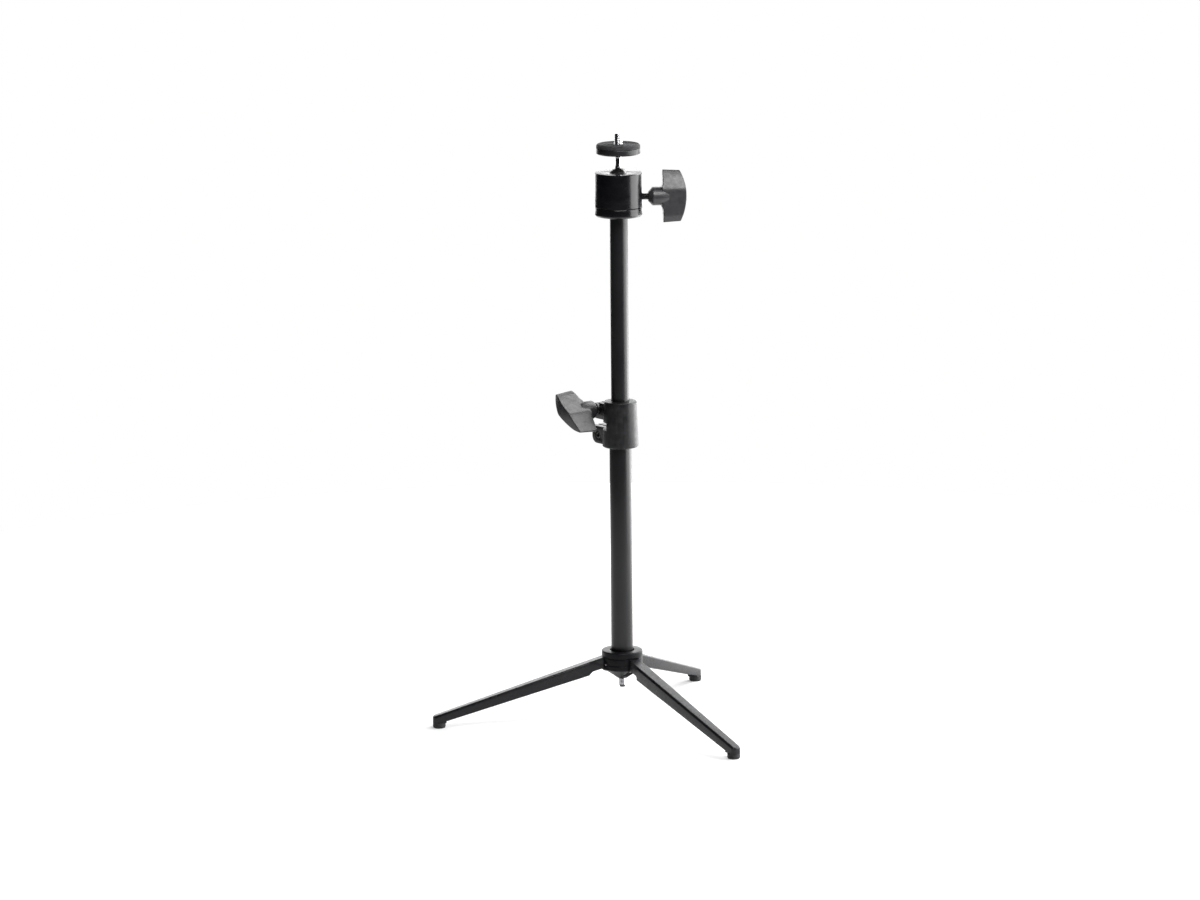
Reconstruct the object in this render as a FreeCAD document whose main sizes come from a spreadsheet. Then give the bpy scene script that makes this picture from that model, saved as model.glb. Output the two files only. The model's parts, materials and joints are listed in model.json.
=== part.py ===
import FreeCAD, Part
import math
import os
import re

import Sketcher

# Small tabletop tripod with a two-section column and a ball head.  All sizes are in millimetres.
# Heights are measured up from the desk, and radii from the axis of the column.  The column stands
# at x = axis_x, so that the origin lies under the middle of the whole tripod's footprint.

SIZES = [
    # alias, value, what it is
    ("axis_x", 33.6, "column axis, from the middle of the footprint"),
    ("seam_z", 44.5, "joint between the two hub halves, and height of the leg pins"),
    ("hub_r", 14.8, "hub cylinder"),
    ("flange_r", 15.0, "flange the legs stop against"),
    ("flange_bottom_z", 49.8, "underside of the flange"),
    ("hub_top_z", 54.3, "top of the flange"),
    ("socket_r", 8.9, "recess round the foot of the lower tube"),
    ("socket_z", 52.0, "floor of that recess"),
    ("cone_top_z", 41.0, "top of the cone under the hub"),
    ("cone_bottom_z", 33.5, "small end of the cone"),
    ("cone_small_r", 4.5, "small end of the cone"),
    ("edge", 0.6, "plain edge chamfer"),
    ("seam_edge", 0.35, "chamfer along a joint line"),
    ("slot_inner_r", 6.0, "solid core left inside the leg slots"),
    ("slot_width", 8.5, "leg slot"),
    ("centre_stud_r", 3.0, "stud through the hub"),
    ("centre_stud_bottom_z", 26.3, "free end of that stud"),
    ("pin_circle_r", 11.5, "leg pins from the column axis"),
    ("pin_r", 1.5, "leg pin"),
    ("pin_length", 14.4, "leg pin"),
    ("running_gap", 0.05, "radial gap of a running fit"),
    ("knuckle_r", 5.2, "round inner end of a leg"),
    ("neck_width", 8.0, "leg inside its slot"),
    ("leg_root_width", 10.2, "leg just outside the hub"),
    ("leg_tip_width", 7.6, "leg at its tip"),
    ("leg_stop_z", 49.7, "flat of the leg under the flange"),
    ("leg_top_root_r", 16.0, "start of the sloping top face"),
    ("leg_top_root_z", 49.0, "height of the top face there"),
    ("leg_tip_r", 139.2, "end of the leg"),
    ("leg_tip_top_z", 8.7, "height of the top face at the tip"),
    ("neck_bottom_r", 15.5, "underside of the neck at the hub"),
    ("neck_bottom_z", 41.0, "underside of the neck at the hub"),
    ("step_r", 21.8, "step on the underside starts"),
    ("step_z", 39.1, "step on the underside starts"),
    ("belly_r", 24.4, "full section starts"),
    ("belly_z", 36.5, "underside of the full section"),
    ("heel_r", 129.4, "inner side of the boss over the foot pad"),
    ("heel_z", 5.3, "underside of the leg at that boss"),
    ("leg_shoulder", 1.7, "rounding along the top face"),
    ("leg_tip_round", 3.2, "rounding of the tip in plan"),
    ("foot_circle_r", 134.5, "foot pads from the column axis"),
    ("foot_r", 4.7, "foot pad"),
    ("foot_height", 4.0, "foot pad"),
    ("foot_peg_r", 1.8, "peg of the pad in the leg"),
    ("foot_peg_height", 2.4, "peg of the pad in the leg"),
    ("lower_tube_r", 8.0, "lower tube, outside"),
    ("lower_tube_bore_r", 7.0, "lower tube, inside"),
    ("plug_top_z", 71.8, "top of the plug in the foot of the lower tube"),
    ("collar_bottom_z", 205.5, "clamp collar"),
    ("collar_top_z", 238.9, "clamp collar"),
    ("collar_bottom_r", 13.0, "clamp collar"),
    ("collar_top_r", 11.9, "clamp collar"),
    ("shoulder_z", 218.2, "step in the collar over the lower tube"),
    ("cross_slot_top_z", 223.7, "top of the slot across the collar"),
    ("cross_slot_x", 1.0, "depth of that slot, from the axis"),
    ("split_width", 1.6, "split of the collar"),
    ("ear_top_z", 235.4, "top of the upper ears"),
    ("ear_end_x", 25.8, "end of the ears"),
    ("ear_thickness", 10.0, "both ears and the split"),
    ("ear_root_x", 7.5, "ears start inside the ring"),
    ("ear_round", 5.0, "rounding of the ears"),
    ("ear_top_round", 5.5, "rounding of the upper ears at the top"),
    ("clamp_axis_x", 19.6, "clamp screws from the column axis"),
    ("clamp_screw_z", 231.0, "wing screw"),
    ("fixing_screw_z", 211.5, "small screw on the lower tube"),
    ("screw_r", 2.5, "wing screw shank"),
    ("screw_hole_r", 2.65, "clearance hole for it"),
    ("nut_across_flats", 8.0, "hexagonal nut, across its flats"),
    ("nut_thickness", 3.2, "hexagonal nut"),
    ("washer_r", 4.4, "washer under the wing knob"),
    ("washer_thickness", 2.6, "washer"),
    ("fixing_r", 1.5, "small screw shank"),
    ("fixing_head_r", 2.7, "small screw head"),
    ("fixing_head_height", 2.4, "small screw head"),
    ("knob_hub_r", 6.7, "wing knob, round part"),
    ("knob_hub_length", 10.6, "wing knob, round part"),
    ("knob_nose_r", 3.4, "inner end of the round part"),
    ("knob_nose_length", 2.6, "its chamfer"),
    ("head_knob_length", 27.4, "wing knob of the head, whole"),
    ("clamp_knob_length", 29.6, "wing knob of the clamp, whole"),
    ("wing_half", 19.0, "wing, from the screw to a tip"),
    ("wing_ridge", 6.2, "half thickness at the ridge"),
    ("wing_ridge_offset", 4.6, "ridge from the middle"),
    ("wing_bevel", 14.9, "start of the bevelled tip"),
    ("wing_bevel_thick", 3.2, "half thickness there"),
    ("wing_end_thick", 1.2, "half thickness of the tip"),
    ("wing_round", 0.7, "rounding of the long edges"),
    ("wing_draft", 3.0, "taper of the wing, in degrees"),
    ("crown_r", 45.0, "crown of the wing's outer end"),
    ("knob_bore_depth", 9.0, "screw inside the knob"),
    ("upper_tube_r", 6.5, "upper tube, outside"),
    ("upper_tube_bore_r", 5.3, "upper tube, inside"),
    ("upper_tube_bottom_z", 190.0, "upper tube pulled right out"),
    ("head_bottom_z", 374.3, "top of the upper tube, bottom of the head"),
    ("collar_gap", 0.06, "upper tube in the collar"),
    ("bush_groove_r", 6.2, "groove for the guide bush"),
    ("bush_bottom_z", 194.0, "guide bush"),
    ("bush_top_z", 218.0, "guide bush against the collar's step"),
    ("stud_plug_bottom_z", 362.0, "plug in the top of the upper tube"),
    ("column_stud_r", 3.0, "stud that carries the head"),
    ("column_stud_top_z", 382.5, "stud that carries the head"),
    ("head_r", 17.2, "ball head"),
    ("head_seam_z", 381.0, "joint of the base ring and the housing"),
    ("head_top_z", 406.0, "ball head"),
    ("head_bore_r", 11.0, "housing, inside"),
    ("head_thread_top_z", 384.0, "base ring's spigot in the housing"),
    ("mouth_r", 6.62, "opening in the top of the housing"),
    ("ball_z", 401.3, "centre of the ball"),
    ("ball_r", 8.0, "ball"),
    ("lock_z", 388.0, "lock screw"),
    ("lock_pad_tip_x", 3.65, "tip of the lock pad"),
    ("lock_pad_end_x", 12.0, "back of the lock pad"),
    ("lock_pad_r", 2.4, "lock pad"),
    ("head_knob_x", 21.4, "inner end of the head's wing knob"),
    ("stem_r", 2.2, "neck under the camera plate"),
    ("stem_foot_r", 2.6, "neck where it joins the ball"),
    ("stem_head_r", 3.2, "neck where it meets the plate"),
    ("stem_gap", 0.08, "neck from the ball"),
    ("plate_r", 16.0, "camera plate"),
    ("plate_bottom_z", 419.3, "camera plate"),
    ("plate_top_z", 423.6, "camera plate"),
    ("pad_r", 15.8, "rubber pad on the plate"),
    ("pad_top_z", 426.6, "rubber pad"),
    ("camera_stud_r", 3.175, "quarter-inch camera stud"),
    ("camera_stud_top_z", 434.2, "camera stud"),
    ("stud_shank_r", 3.6, "camera stud inside the plate"),
    ("fine_gap", 0.1, "small gap between pieces that don't press on each other"),
    ("overrun", 2.0, "how far a cutting shape runs past the piece"),
    ("groove_depth", 0.4, "thin groove under the flange"),
    ("groove_height", 0.3, "thin groove under the flange"),
    ("groove_slope", 0.2, "sloping side of that groove"),
    ("stud_point", 1.1, "chamfer at the free end of the centre stud"),
    ("centre_stud_top_z", 69.8, "top of the centre stud, inside the plug"),
    ("foot_flat_r", 3.4, "flat underside of the foot pad"),
    ("foot_lip_r", 4.3, "edge of the foot pad"),
    ("foot_lip_z", 0.45, "edge of the foot pad"),
    ("foot_side_z", 1.4, "start of the foot pad's straight side"),
    ("foot_edge", 0.3, "top edge of the foot pad"),
    ("tube_edge", 0.2, "chamfer at a tube's end"),
    ("nut_proud", 0.6, "nut beyond the ear"),
    ("screw_proud", 1.6, "end of the wing screw beyond the ear"),
    ("fixing_sunk", 0.2, "small screw head below the ear's face"),
    ("fixing_socket_r", 1.3, "socket of the small screw"),
    ("fixing_socket_depth", 1.5, "socket of the small screw"),
    ("ring_edge", 1.3, "lower edge of the head's base ring"),
    ("ring_seam_edge", 0.5, "upper edge of the head's base ring"),
    ("rim_edge", 0.5, "top edge of the housing"),
    ("mouth_grip_r", 7.05, "start of the face that holds the ball down"),
    ("mouth_grip_depth", 0.75, "start of that face, below the rim"),
    ("mouth_back_r", 8.75, "end of that face"),
    ("mouth_back_depth", 4.4, "end of that face, below the rim"),
    ("mouth_room_depth", 7.0, "full bore of the housing, below the rim"),
    ("seat_tip_r", 1.5, "small end of the seat's cone"),
    ("seat_cone_r", 5.0, "large end of the seat's cone"),
    ("seat_drop", 2.0, "small end of the cone below the lock screw"),
    ("seat_rise", 3.0, "large end of the cone above the lock screw"),
    ("seat_rim_drop", 3.3, "rim of the seat below the ball's centre"),
    ("seat_floor_r", 3.0, "flat floor of the seat"),
    ("seat_floor_gap", 0.5, "floor of the seat below the ball"),
    ("stem_foot_height", 0.3, "straight foot of the neck above the ball"),
    ("stem_waist_height", 2.2, "start of the neck's waist above the ball"),
    ("stem_flare", 2.4, "flare of the neck under the plate"),
    ("stem_peg", 2.0, "neck inside the plate"),
    ("peg_room", 0.2, "room over the end of a peg or a pin"),
    ("plate_bevel_r", 1.0, "lower edge of the camera plate, across"),
    ("plate_bevel_z", 0.8, "lower edge of the camera plate, up"),
    ("plate_edge", 0.25, "top edge of the camera plate"),
    ("plate_web", 0.4, "metal between the neck and the camera stud"),
    ("pad_edge", 0.2, "lower edge of the rubber pad"),
    ("pad_side_drop", 0.9, "top of the pad's straight side, below its top"),
    ("pad_corner_r", 0.35, "corner of the pad, across"),
    ("pad_corner_drop", 0.3, "corner of the pad, below its top"),
    ("pad_flat_r", 1.1, "edge of the pad's flat top, in from its side"),
]

LEG_AZIMUTHS = [("left", 180.0), ("front", 300.0), ("back", 60.0)]
EAR_AZIMUTH = 124.0
CLAMP_WING_TURN = 49.0
HEAD_WING_TURN = -9.0
STUD_FLOOR = "plate_bottom_z + stem_peg + peg_room + plate_web"

doc = FreeCAD.newDocument("tabletop_tripod")
sheet = doc.addObject("Spreadsheet::Sheet", "Sizes")
ALIASES = {alias for alias, _, _ in SIZES}
NODES = []


def fill_sheet():
    for row, (alias, value, meaning) in enumerate(SIZES, start=1):
        sheet.set("A%d" % row, alias)
        sheet.set("B%d" % row, str(value))
        sheet.setAlias("B%d" % row, alias)
        sheet.set("C%d" % row, meaning)
    doc.recompute()


def expression(text):
    """Turn 'hub_r + edge' into 'Sizes.hub_r + Sizes.edge'."""
    return re.sub(r"[a-z_]+", lambda word: "Sizes." + word.group(0) if word.group(0) in ALIASES
                  else word.group(0), text)


def bind(thing, prop, text):
    thing.setExpression(prop, expression(text))


def value_of(text):
    return float(sheet.evalExpression(expression(text)))


# ---------------------------------------------------------------- sketches and features

def new_body(name):
    return doc.addObject("PartDesign::Body", name)


def origin_plane(body, role):
    return [plane for plane in body.Origin.OriginFeatures if plane.Role == role][0]


def outline(body, name, role, points, lift="0"):
    """Closed sketch with straight sides.  Each corner's two places are tied to the sheet."""
    sketch = body.newObject("Sketcher::SketchObject", name)
    sketch.AttachmentSupport = [(origin_plane(body, role), "")]
    sketch.MapMode = "FlatFace"
    bind(sketch, "AttachmentOffset.Base.z", lift)
    corners = [FreeCAD.Vector(value_of(across), value_of(up), 0) for across, up in points]
    count = len(corners)
    for index in range(count):
        sketch.addGeometry(Part.LineSegment(corners[index], corners[(index + 1) % count]), False)
    for index in range(count):
        sketch.addConstraint(Sketcher.Constraint("Coincident", index, 2, (index + 1) % count, 1))
    for index, (across, up) in enumerate(points):
        for kind, text in (("DistanceX", across), ("DistanceY", up)):
            rule = Sketcher.Constraint(kind, -1, 1, index, 1, value_of(text))
            number = sketch.addConstraint(rule)
            bind(sketch, "Constraints[%d]" % number, text)
    return sketch


def ring(body, name, role, centre, radius, lift="0"):
    """Sketch of one circle."""
    sketch = body.newObject("Sketcher::SketchObject", name)
    sketch.AttachmentSupport = [(origin_plane(body, role), "")]
    sketch.MapMode = "FlatFace"
    bind(sketch, "AttachmentOffset.Base.z", lift)
    middle = FreeCAD.Vector(value_of(centre[0]), value_of(centre[1]), 0)
    circle = Part.Circle(middle, FreeCAD.Vector(0, 0, 1), value_of(radius))
    sketch.addGeometry(circle, False)
    for kind, text in (("DistanceX", centre[0]), ("DistanceY", centre[1])):
        rule = Sketcher.Constraint(kind, -1, 1, 0, 3, value_of(text))
        bind(sketch, "Constraints[%d]" % sketch.addConstraint(rule), text)
    rule = Sketcher.Constraint("Radius", 0, value_of(radius))
    bind(sketch, "Constraints[%d]" % sketch.addConstraint(rule), radius)
    return sketch


def turned(body, name, points, role="XZ_Plane", axis="V_Axis"):
    """Solid of revolution from an outline of (radius, height) corners."""
    sketch = outline(body, name + "_profile", role, points)
    feature = body.newObject("PartDesign::Revolution", name)
    feature.Profile = sketch
    feature.ReferenceAxis = (sketch, [axis])
    feature.Angle = 360
    body.Tip = feature
    doc.recompute()
    return feature


def block(body, name, sketch, length, both_ways=False, backwards=False):
    feature = body.newObject("PartDesign::Pad", name)
    feature.Profile = sketch
    bind(feature, "Length", length)
    feature.SideType = "Symmetric" if both_ways else "One side"
    feature.Reversed = backwards
    body.Tip = feature
    doc.recompute()
    return feature


def cut(body, name, sketch, length, both_ways=False, backwards=False):
    """Pocket that must take material away."""
    before = body.Shape.Volume
    feature = body.newObject("PartDesign::Pocket", name)
    feature.Profile = sketch
    bind(feature, "Length", length)
    feature.SideType = "Symmetric" if both_ways else "One side"
    feature.Reversed = backwards
    body.Tip = feature
    doc.recompute()
    if not feature.Shape.Volume < before - 0.01:
        raise RuntimeError("%s of %s cuts nothing" % (name, body.Name))
    return feature


def around(body, name, features, count):
    """Polar pattern about the body's own Z axis."""
    pattern = body.newObject("PartDesign::PolarPattern", name)
    pattern.Originals = features
    z_axis = [line for line in body.Origin.OriginFeatures if line.Role == "Z_Axis"][0]
    pattern.Axis = (z_axis, [""])
    pattern.Angle = 360
    pattern.Occurrences = count
    body.Tip = pattern
    doc.recompute()
    return pattern


def rounded(body, name, radius, wanted):
    """Fillet on the edges that the test picks out."""
    base = body.Tip
    names = ["Edge%d" % (index + 1) for index, edge in enumerate(base.Shape.Edges) if wanted(edge)]
    if not names:
        raise RuntimeError("%s of %s finds no edge" % (name, body.Name))
    feature = body.newObject("PartDesign::Fillet", name)
    feature.Base = (base, names)
    bind(feature, "Radius", radius)
    body.Tip = feature
    doc.recompute()
    return feature


def edge_points(edge, count=5):
    first, last = edge.FirstParameter, edge.LastParameter
    return [edge.valueAt(first + (last - first) * index / (count - 1)) for index in range(count)]


def edge_middle(edge):
    return edge_points(edge, 3)[1]


def is_straight_along(edge, direction, slant=0.001):
    """Whether an edge runs along a direction, give or take a slant in radians."""
    ends = edge_points(edge, 2)
    run = ends[1] - ends[0]
    return run.Length > 0.01 and run.normalize().cross(direction).Length < slant


def place(thing, label, azimuth=0.0, axis_z="0"):
    """Give a sub-part its label, put it on the column axis and turn it about that axis."""
    thing.Label = label
    thing.Placement = FreeCAD.Placement(FreeCAD.Vector(0, 0, 0),
                                        FreeCAD.Rotation(FreeCAD.Vector(0, 0, 1), azimuth))
    bind(thing, "Placement.Base.x", "axis_x")
    bind(thing, "Placement.Base.z", axis_z)
    NODES.append(thing)


# ---------------------------------------------------------------- hub

def leg_slots(body, bottom, height):
    """Three slots for the legs, each with a half-round seat for its pin, opening at the seam."""
    slot = outline(body, "slot_plan", "XY_Plane",
                   [("slot_inner_r", "-slot_width / 2"), ("flange_r + overrun", "-slot_width / 2"),
                    ("flange_r + overrun", "slot_width / 2"), ("slot_inner_r", "slot_width / 2")], bottom)
    slot_cut = cut(body, "slot", slot, height, backwards=True)
    seat = ring(body, "pin_seat_plan", "XZ_Plane", ("pin_circle_r", "seam_z"), "pin_r")
    seat_cut = cut(body, "pin_seat", seat, "pin_length + peg_room", both_ways=True)
    around(body, "three_slots", [slot_cut, seat_cut], 3)


def hub_upper():
    """Upper half of the hub: a flange over a drum, with a recess for the foot of the tube."""
    body = new_body("hub_upper_body")
    turned(body, "drum", [
        ("centre_stud_r + fine_gap", "seam_z"), ("hub_r - seam_edge", "seam_z"),
        ("hub_r", "seam_z + seam_edge"), ("hub_r", "flange_bottom_z - groove_height - groove_slope"),
        ("hub_r - groove_depth", "flange_bottom_z - groove_height"),
        ("hub_r - groove_depth", "flange_bottom_z"),
        ("flange_r - seam_edge", "flange_bottom_z"), ("flange_r", "flange_bottom_z + seam_edge"),
        ("flange_r", "hub_top_z - edge"), ("flange_r - edge", "hub_top_z"),
        ("socket_r + edge / 2", "hub_top_z"), ("socket_r", "hub_top_z - edge / 2"),
        ("socket_r", "socket_z"), ("centre_stud_r + fine_gap", "socket_z")])
    leg_slots(body, "seam_z", "flange_bottom_z - seam_z")
    place(body, "hub_upper", LEG_AZIMUTHS[0][1])


def hub_lower():
    """Lower half of the hub: a short drum that ends in a cone."""
    body = new_body("hub_lower_body")
    turned(body, "cone", [
        ("centre_stud_r", "cone_bottom_z"), ("cone_small_r - seam_edge", "cone_bottom_z"),
        ("cone_small_r", "cone_bottom_z + seam_edge"), ("hub_r", "cone_top_z"),
        ("hub_r", "seam_z - seam_edge"), ("hub_r - seam_edge", "seam_z"),
        ("centre_stud_r", "seam_z")])
    leg_slots(body, "cone_bottom_z - overrun", "seam_z - cone_bottom_z + overrun")
    place(body, "hub_lower", LEG_AZIMUTHS[0][1])


def centre_stud():
    """Bright stud that clamps both hub halves to the plug in the lower tube."""
    body = new_body("centre_stud_body")
    turned(body, "shank", [
        ("0", "centre_stud_bottom_z"), ("centre_stud_r - stud_point", "centre_stud_bottom_z"),
        ("centre_stud_r", "centre_stud_bottom_z + stud_point"),
        ("centre_stud_r", "centre_stud_top_z"), ("0", "centre_stud_top_z")])
    place(body, "hub_centre_stud")


def leg_pin(name, azimuth):
    """Plain steel pin across a leg slot, held between the hub halves."""
    pin = doc.addObject("Part::Cylinder", name)
    bind(pin, "Radius", "pin_r")
    bind(pin, "Height", "pin_length")
    turn = FreeCAD.Rotation(FreeCAD.Vector(0, 0, 1), azimuth)
    pin.Placement = FreeCAD.Placement(FreeCAD.Vector(0, 0, 0),
                                      turn.multiply(FreeCAD.Rotation(FreeCAD.Vector(1, 0, 0), -90)))
    cosine, sine = "cos(%g deg)" % azimuth, "sin(%g deg)" % azimuth
    bind(pin, "Placement.Base.x", "axis_x + pin_circle_r * %s + pin_length / 2 * %s" % (cosine, sine))
    bind(pin, "Placement.Base.y", "pin_circle_r * %s - pin_length / 2 * %s" % (sine, cosine))
    bind(pin, "Placement.Base.z", "seam_z")
    pin.Label = name
    NODES.append(pin)


# ---------------------------------------------------------------- legs

def top_face_distance(point):
    """How far a point is from the plane of the leg's sloping top face."""
    rise = value_of("leg_top_root_z - leg_tip_top_z")
    run = value_of("leg_tip_r - leg_top_root_r")
    across = (point.x - value_of("leg_top_root_r")) * rise
    up = (point.z - value_of("leg_top_root_z")) * run
    return abs(across + up) / math.hypot(rise, run)


def leg(name, azimuth):
    """Tapered solid leg, drawn along +X from its knuckle on the pin to the boss over the pad."""
    body = new_body(name + "_body")
    slope = "(leg_top_root_z - leg_tip_top_z) / (leg_tip_r - leg_top_root_r)"
    side = outline(body, "side", "XZ_Plane", [
        ("pin_circle_r", "leg_stop_z"),
        ("leg_top_root_r - (leg_stop_z - leg_top_root_z) / (%s)" % slope, "leg_stop_z"),
        ("leg_tip_r", "leg_tip_top_z"), ("leg_tip_r", "foot_height"), ("heel_r", "foot_height"),
        ("heel_r", "heel_z"), ("belly_r", "belly_z"), ("step_r", "step_z"),
        ("neck_bottom_r", "neck_bottom_z"), ("pin_circle_r", "neck_bottom_z")])
    block(body, "bar", side, "leg_root_width", both_ways=True)
    knuckle = ring(body, "knuckle_side", "XZ_Plane", ("pin_circle_r", "seam_z"), "knuckle_r")
    block(body, "knuckle", knuckle, "neck_width", both_ways=True)
    for sign, flank in (("", "flank_a"), ("-", "flank_b")):
        waste = outline(body, flank + "_plan", "XY_Plane", [
            ("0", sign + "(neck_width / 2)"), ("belly_r", sign + "(neck_width / 2)"),
            ("belly_r", sign + "(leg_root_width / 2)"),
            ("leg_tip_r + overrun", sign + "(leg_tip_width / 2)"),
            ("leg_tip_r + overrun", sign + "(leg_root_width)"), ("0", sign + "(leg_root_width)")])
        cut(body, flank, waste, "hub_top_z", backwards=True)
    bore = ring(body, "bore_side", "XZ_Plane", ("pin_circle_r", "seam_z"), "pin_r + running_gap")
    cut(body, "bore", bore, "leg_root_width", both_ways=True)
    peg = ring(body, "peg_plan", "XY_Plane", ("foot_circle_r", "0"), "foot_peg_r + running_gap")
    cut(body, "peg_hole", peg, "foot_height + foot_peg_height + peg_room", backwards=True)
    upright = FreeCAD.Vector(0, 0, 1)
    tip_r = value_of("leg_tip_r")
    rounded(body, "tip_round", "leg_tip_round",
            lambda edge: is_straight_along(edge, upright) and abs(edge_middle(edge).x - tip_r) < 0.01)
    rounded(body, "shoulder", "leg_shoulder",
            lambda edge: all(top_face_distance(point) < 0.02 for point in edge_points(edge))
            and edge_middle(edge).x > value_of("belly_r") + 1)
    place(body, name, azimuth)


def foot_pad(name, azimuth):
    """Round rubber pad with a peg that presses into the leg."""
    body = new_body(name + "_body")
    turned(body, "pad", [
        ("0", "0"), ("foot_flat_r", "0"), ("foot_lip_r", "foot_lip_z"), ("foot_r", "foot_side_z"),
        ("foot_r", "foot_height - foot_edge"), ("foot_r - foot_edge", "foot_height"),
        ("foot_peg_r", "foot_height"), ("foot_peg_r", "foot_height + foot_peg_height"),
        ("0", "foot_height + foot_peg_height")])
    body.Label = name
    bind(body, "Placement.Base.x", "axis_x + foot_circle_r * cos(%g deg)" % azimuth)
    bind(body, "Placement.Base.y", "foot_circle_r * sin(%g deg)" % azimuth)
    NODES.append(body)


# ---------------------------------------------------------------- column

def lower_tube():
    body = new_body("lower_tube_body")
    turned(body, "wall", [
        ("lower_tube_bore_r", "socket_z"), ("lower_tube_r - tube_edge", "socket_z"),
        ("lower_tube_r", "socket_z + tube_edge"), ("lower_tube_r", "shoulder_z - fine_gap"),
        ("lower_tube_bore_r", "shoulder_z - fine_gap")])
    place(body, "lower_tube")


def lower_tube_plug():
    """Threaded plug pressed into the foot of the lower tube; the upper tube's lowest stop."""
    body = new_body("lower_tube_plug_body")
    turned(body, "plug", [
        ("centre_stud_r", "socket_z"), ("lower_tube_bore_r", "socket_z"),
        ("lower_tube_bore_r", "plug_top_z - edge"), ("lower_tube_bore_r - edge", "plug_top_z"),
        ("centre_stud_r", "plug_top_z")])
    place(body, "lower_tube_plug")


def clamp_collar():
    """Split collar: its lower lug grips the lower tube, its upper ears grip the upper tube."""
    body = new_body("clamp_collar_body")
    turned(body, "ring", [
        ("0", "collar_bottom_z"), ("collar_bottom_r - edge", "collar_bottom_z"),
        ("collar_bottom_r", "collar_bottom_z + edge"), ("collar_top_r", "collar_top_z - edge"),
        ("collar_top_r - edge", "collar_top_z"), ("0", "collar_top_z")])
    ears = outline(body, "ears_side", "XZ_Plane", [
        ("ear_root_x", "collar_bottom_z"), ("ear_end_x", "collar_bottom_z"),
        ("ear_end_x", "ear_top_z"), ("ear_root_x", "ear_top_z")])
    block(body, "ears", ears, "ear_thickness", both_ways=True)
    gap = outline(body, "cross_slot_side", "XZ_Plane", [
        ("cross_slot_x", "shoulder_z"), ("ear_end_x + overrun", "shoulder_z"),
        ("ear_end_x + overrun", "cross_slot_top_z"), ("cross_slot_x", "cross_slot_top_z")])
    cut(body, "cross_slot", gap, "3 * collar_bottom_r", both_ways=True)
    along_y = FreeCAD.Vector(0, 1, 0)
    ear_end = value_of("ear_end_x")
    top, bottom = value_of("ear_top_z"), value_of("collar_bottom_z")
    upper = value_of("cross_slot_top_z")
    for name, size, heights in (("ear_ends", "ear_round", (bottom, upper)),
                                ("ear_tops", "ear_top_round", (top,))):
        rounded(body, name, size,
                lambda edge: is_straight_along(edge, along_y) and edge_middle(edge).x > ear_end - 0.01
                and min(abs(edge_middle(edge).z - height) for height in heights) < 0.01)
    low = ring(body, "low_bore_plan", "XY_Plane", ("0", "0"), "lower_tube_r",
               "collar_bottom_z - overrun")
    cut(body, "low_bore", low, "shoulder_z - collar_bottom_z + overrun", backwards=True)
    high = ring(body, "high_bore_plan", "XY_Plane", ("0", "0"), "upper_tube_r + collar_gap",
                "shoulder_z - overrun")
    cut(body, "high_bore", high, "collar_top_z - shoulder_z + 2 * overrun", backwards=True)
    split = outline(body, "split_plan", "XY_Plane", [
        ("0", "-split_width / 2"), ("ear_end_x + overrun", "-split_width / 2"),
        ("ear_end_x + overrun", "split_width / 2"), ("0", "split_width / 2")],
        "collar_bottom_z - overrun")
    cut(body, "split", split, "collar_top_z - collar_bottom_z + 2 * overrun", backwards=True)
    for name, height, radius in (("wing_hole", "clamp_screw_z", "screw_hole_r"),
                                 ("fixing_hole", "fixing_screw_z", "fixing_r")):
        hole = ring(body, name + "_side", "XZ_Plane", ("clamp_axis_x", height), radius)
        cut(body, name, hole, "2 * ear_thickness", both_ways=True)
    head = ring(body, "head_seat_side", "XZ_Plane", ("clamp_axis_x", "fixing_screw_z"),
                "fixing_head_r + fine_gap", "-(ear_thickness / 2 - fixing_head_height)")
    cut(body, "head_seat", head, "ear_thickness", backwards=False)
    nut = outline(body, "nut_seat_side", "XZ_Plane", hexagon("clamp_axis_x", "clamp_screw_z", "fine_gap"),
                  "ear_thickness / 2 - nut_thickness + nut_proud")
    cut(body, "nut_seat", nut, "ear_thickness", backwards=True)
    place(body, "clamp_collar", EAR_AZIMUTH)


def hexagon(across, up, extra):
    """Corners of a hexagonal nut about a centre, grown by a small gap."""
    corners = []
    for index in range(6):
        angle = 60 * index + 30
        reach = "(nut_across_flats / 2 + %s) / cos(30 deg)" % extra
        corners.append(("%s + %s * cos(%d deg)" % (across, reach, angle),
                        "%s + %s * sin(%d deg)" % (up, reach, angle)))
    return corners


def clamp_nut():
    """Hexagonal nut that the wing screw pulls on, held in the far ear."""
    body = new_body("clamp_nut_body")
    shape = outline(body, "nut_side", "XZ_Plane", hexagon("clamp_axis_x", "clamp_screw_z", "0"),
                    "ear_thickness / 2 - nut_thickness + nut_proud + fine_gap")
    block(body, "nut", shape, "nut_thickness")
    hole = ring(body, "nut_bore_side", "XZ_Plane", ("clamp_axis_x", "clamp_screw_z"),
                "screw_r + running_gap")
    cut(body, "nut_bore", hole, "3 * ear_thickness", both_ways=True)
    place(body, "clamp_nut", EAR_AZIMUTH)


def ear_cylinder(name, height, radius, start, end):
    """Round bar along the clamp screws' direction, between two distances from the split."""
    body = new_body(name + "_body")
    circle = ring(body, "end", "XZ_Plane", ("clamp_axis_x", height), radius,
                  "-(%s)" % end)
    block(body, "bar", circle, "%s - (%s)" % (end, start))
    return body


def clamp_screw():
    body = ear_cylinder("clamp_screw", "clamp_screw_z", "screw_r", "-ear_thickness / 2 - screw_proud",
                        "ear_thickness / 2 + washer_thickness + knob_bore_depth")
    place(body, "clamp_screw", EAR_AZIMUTH)


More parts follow.
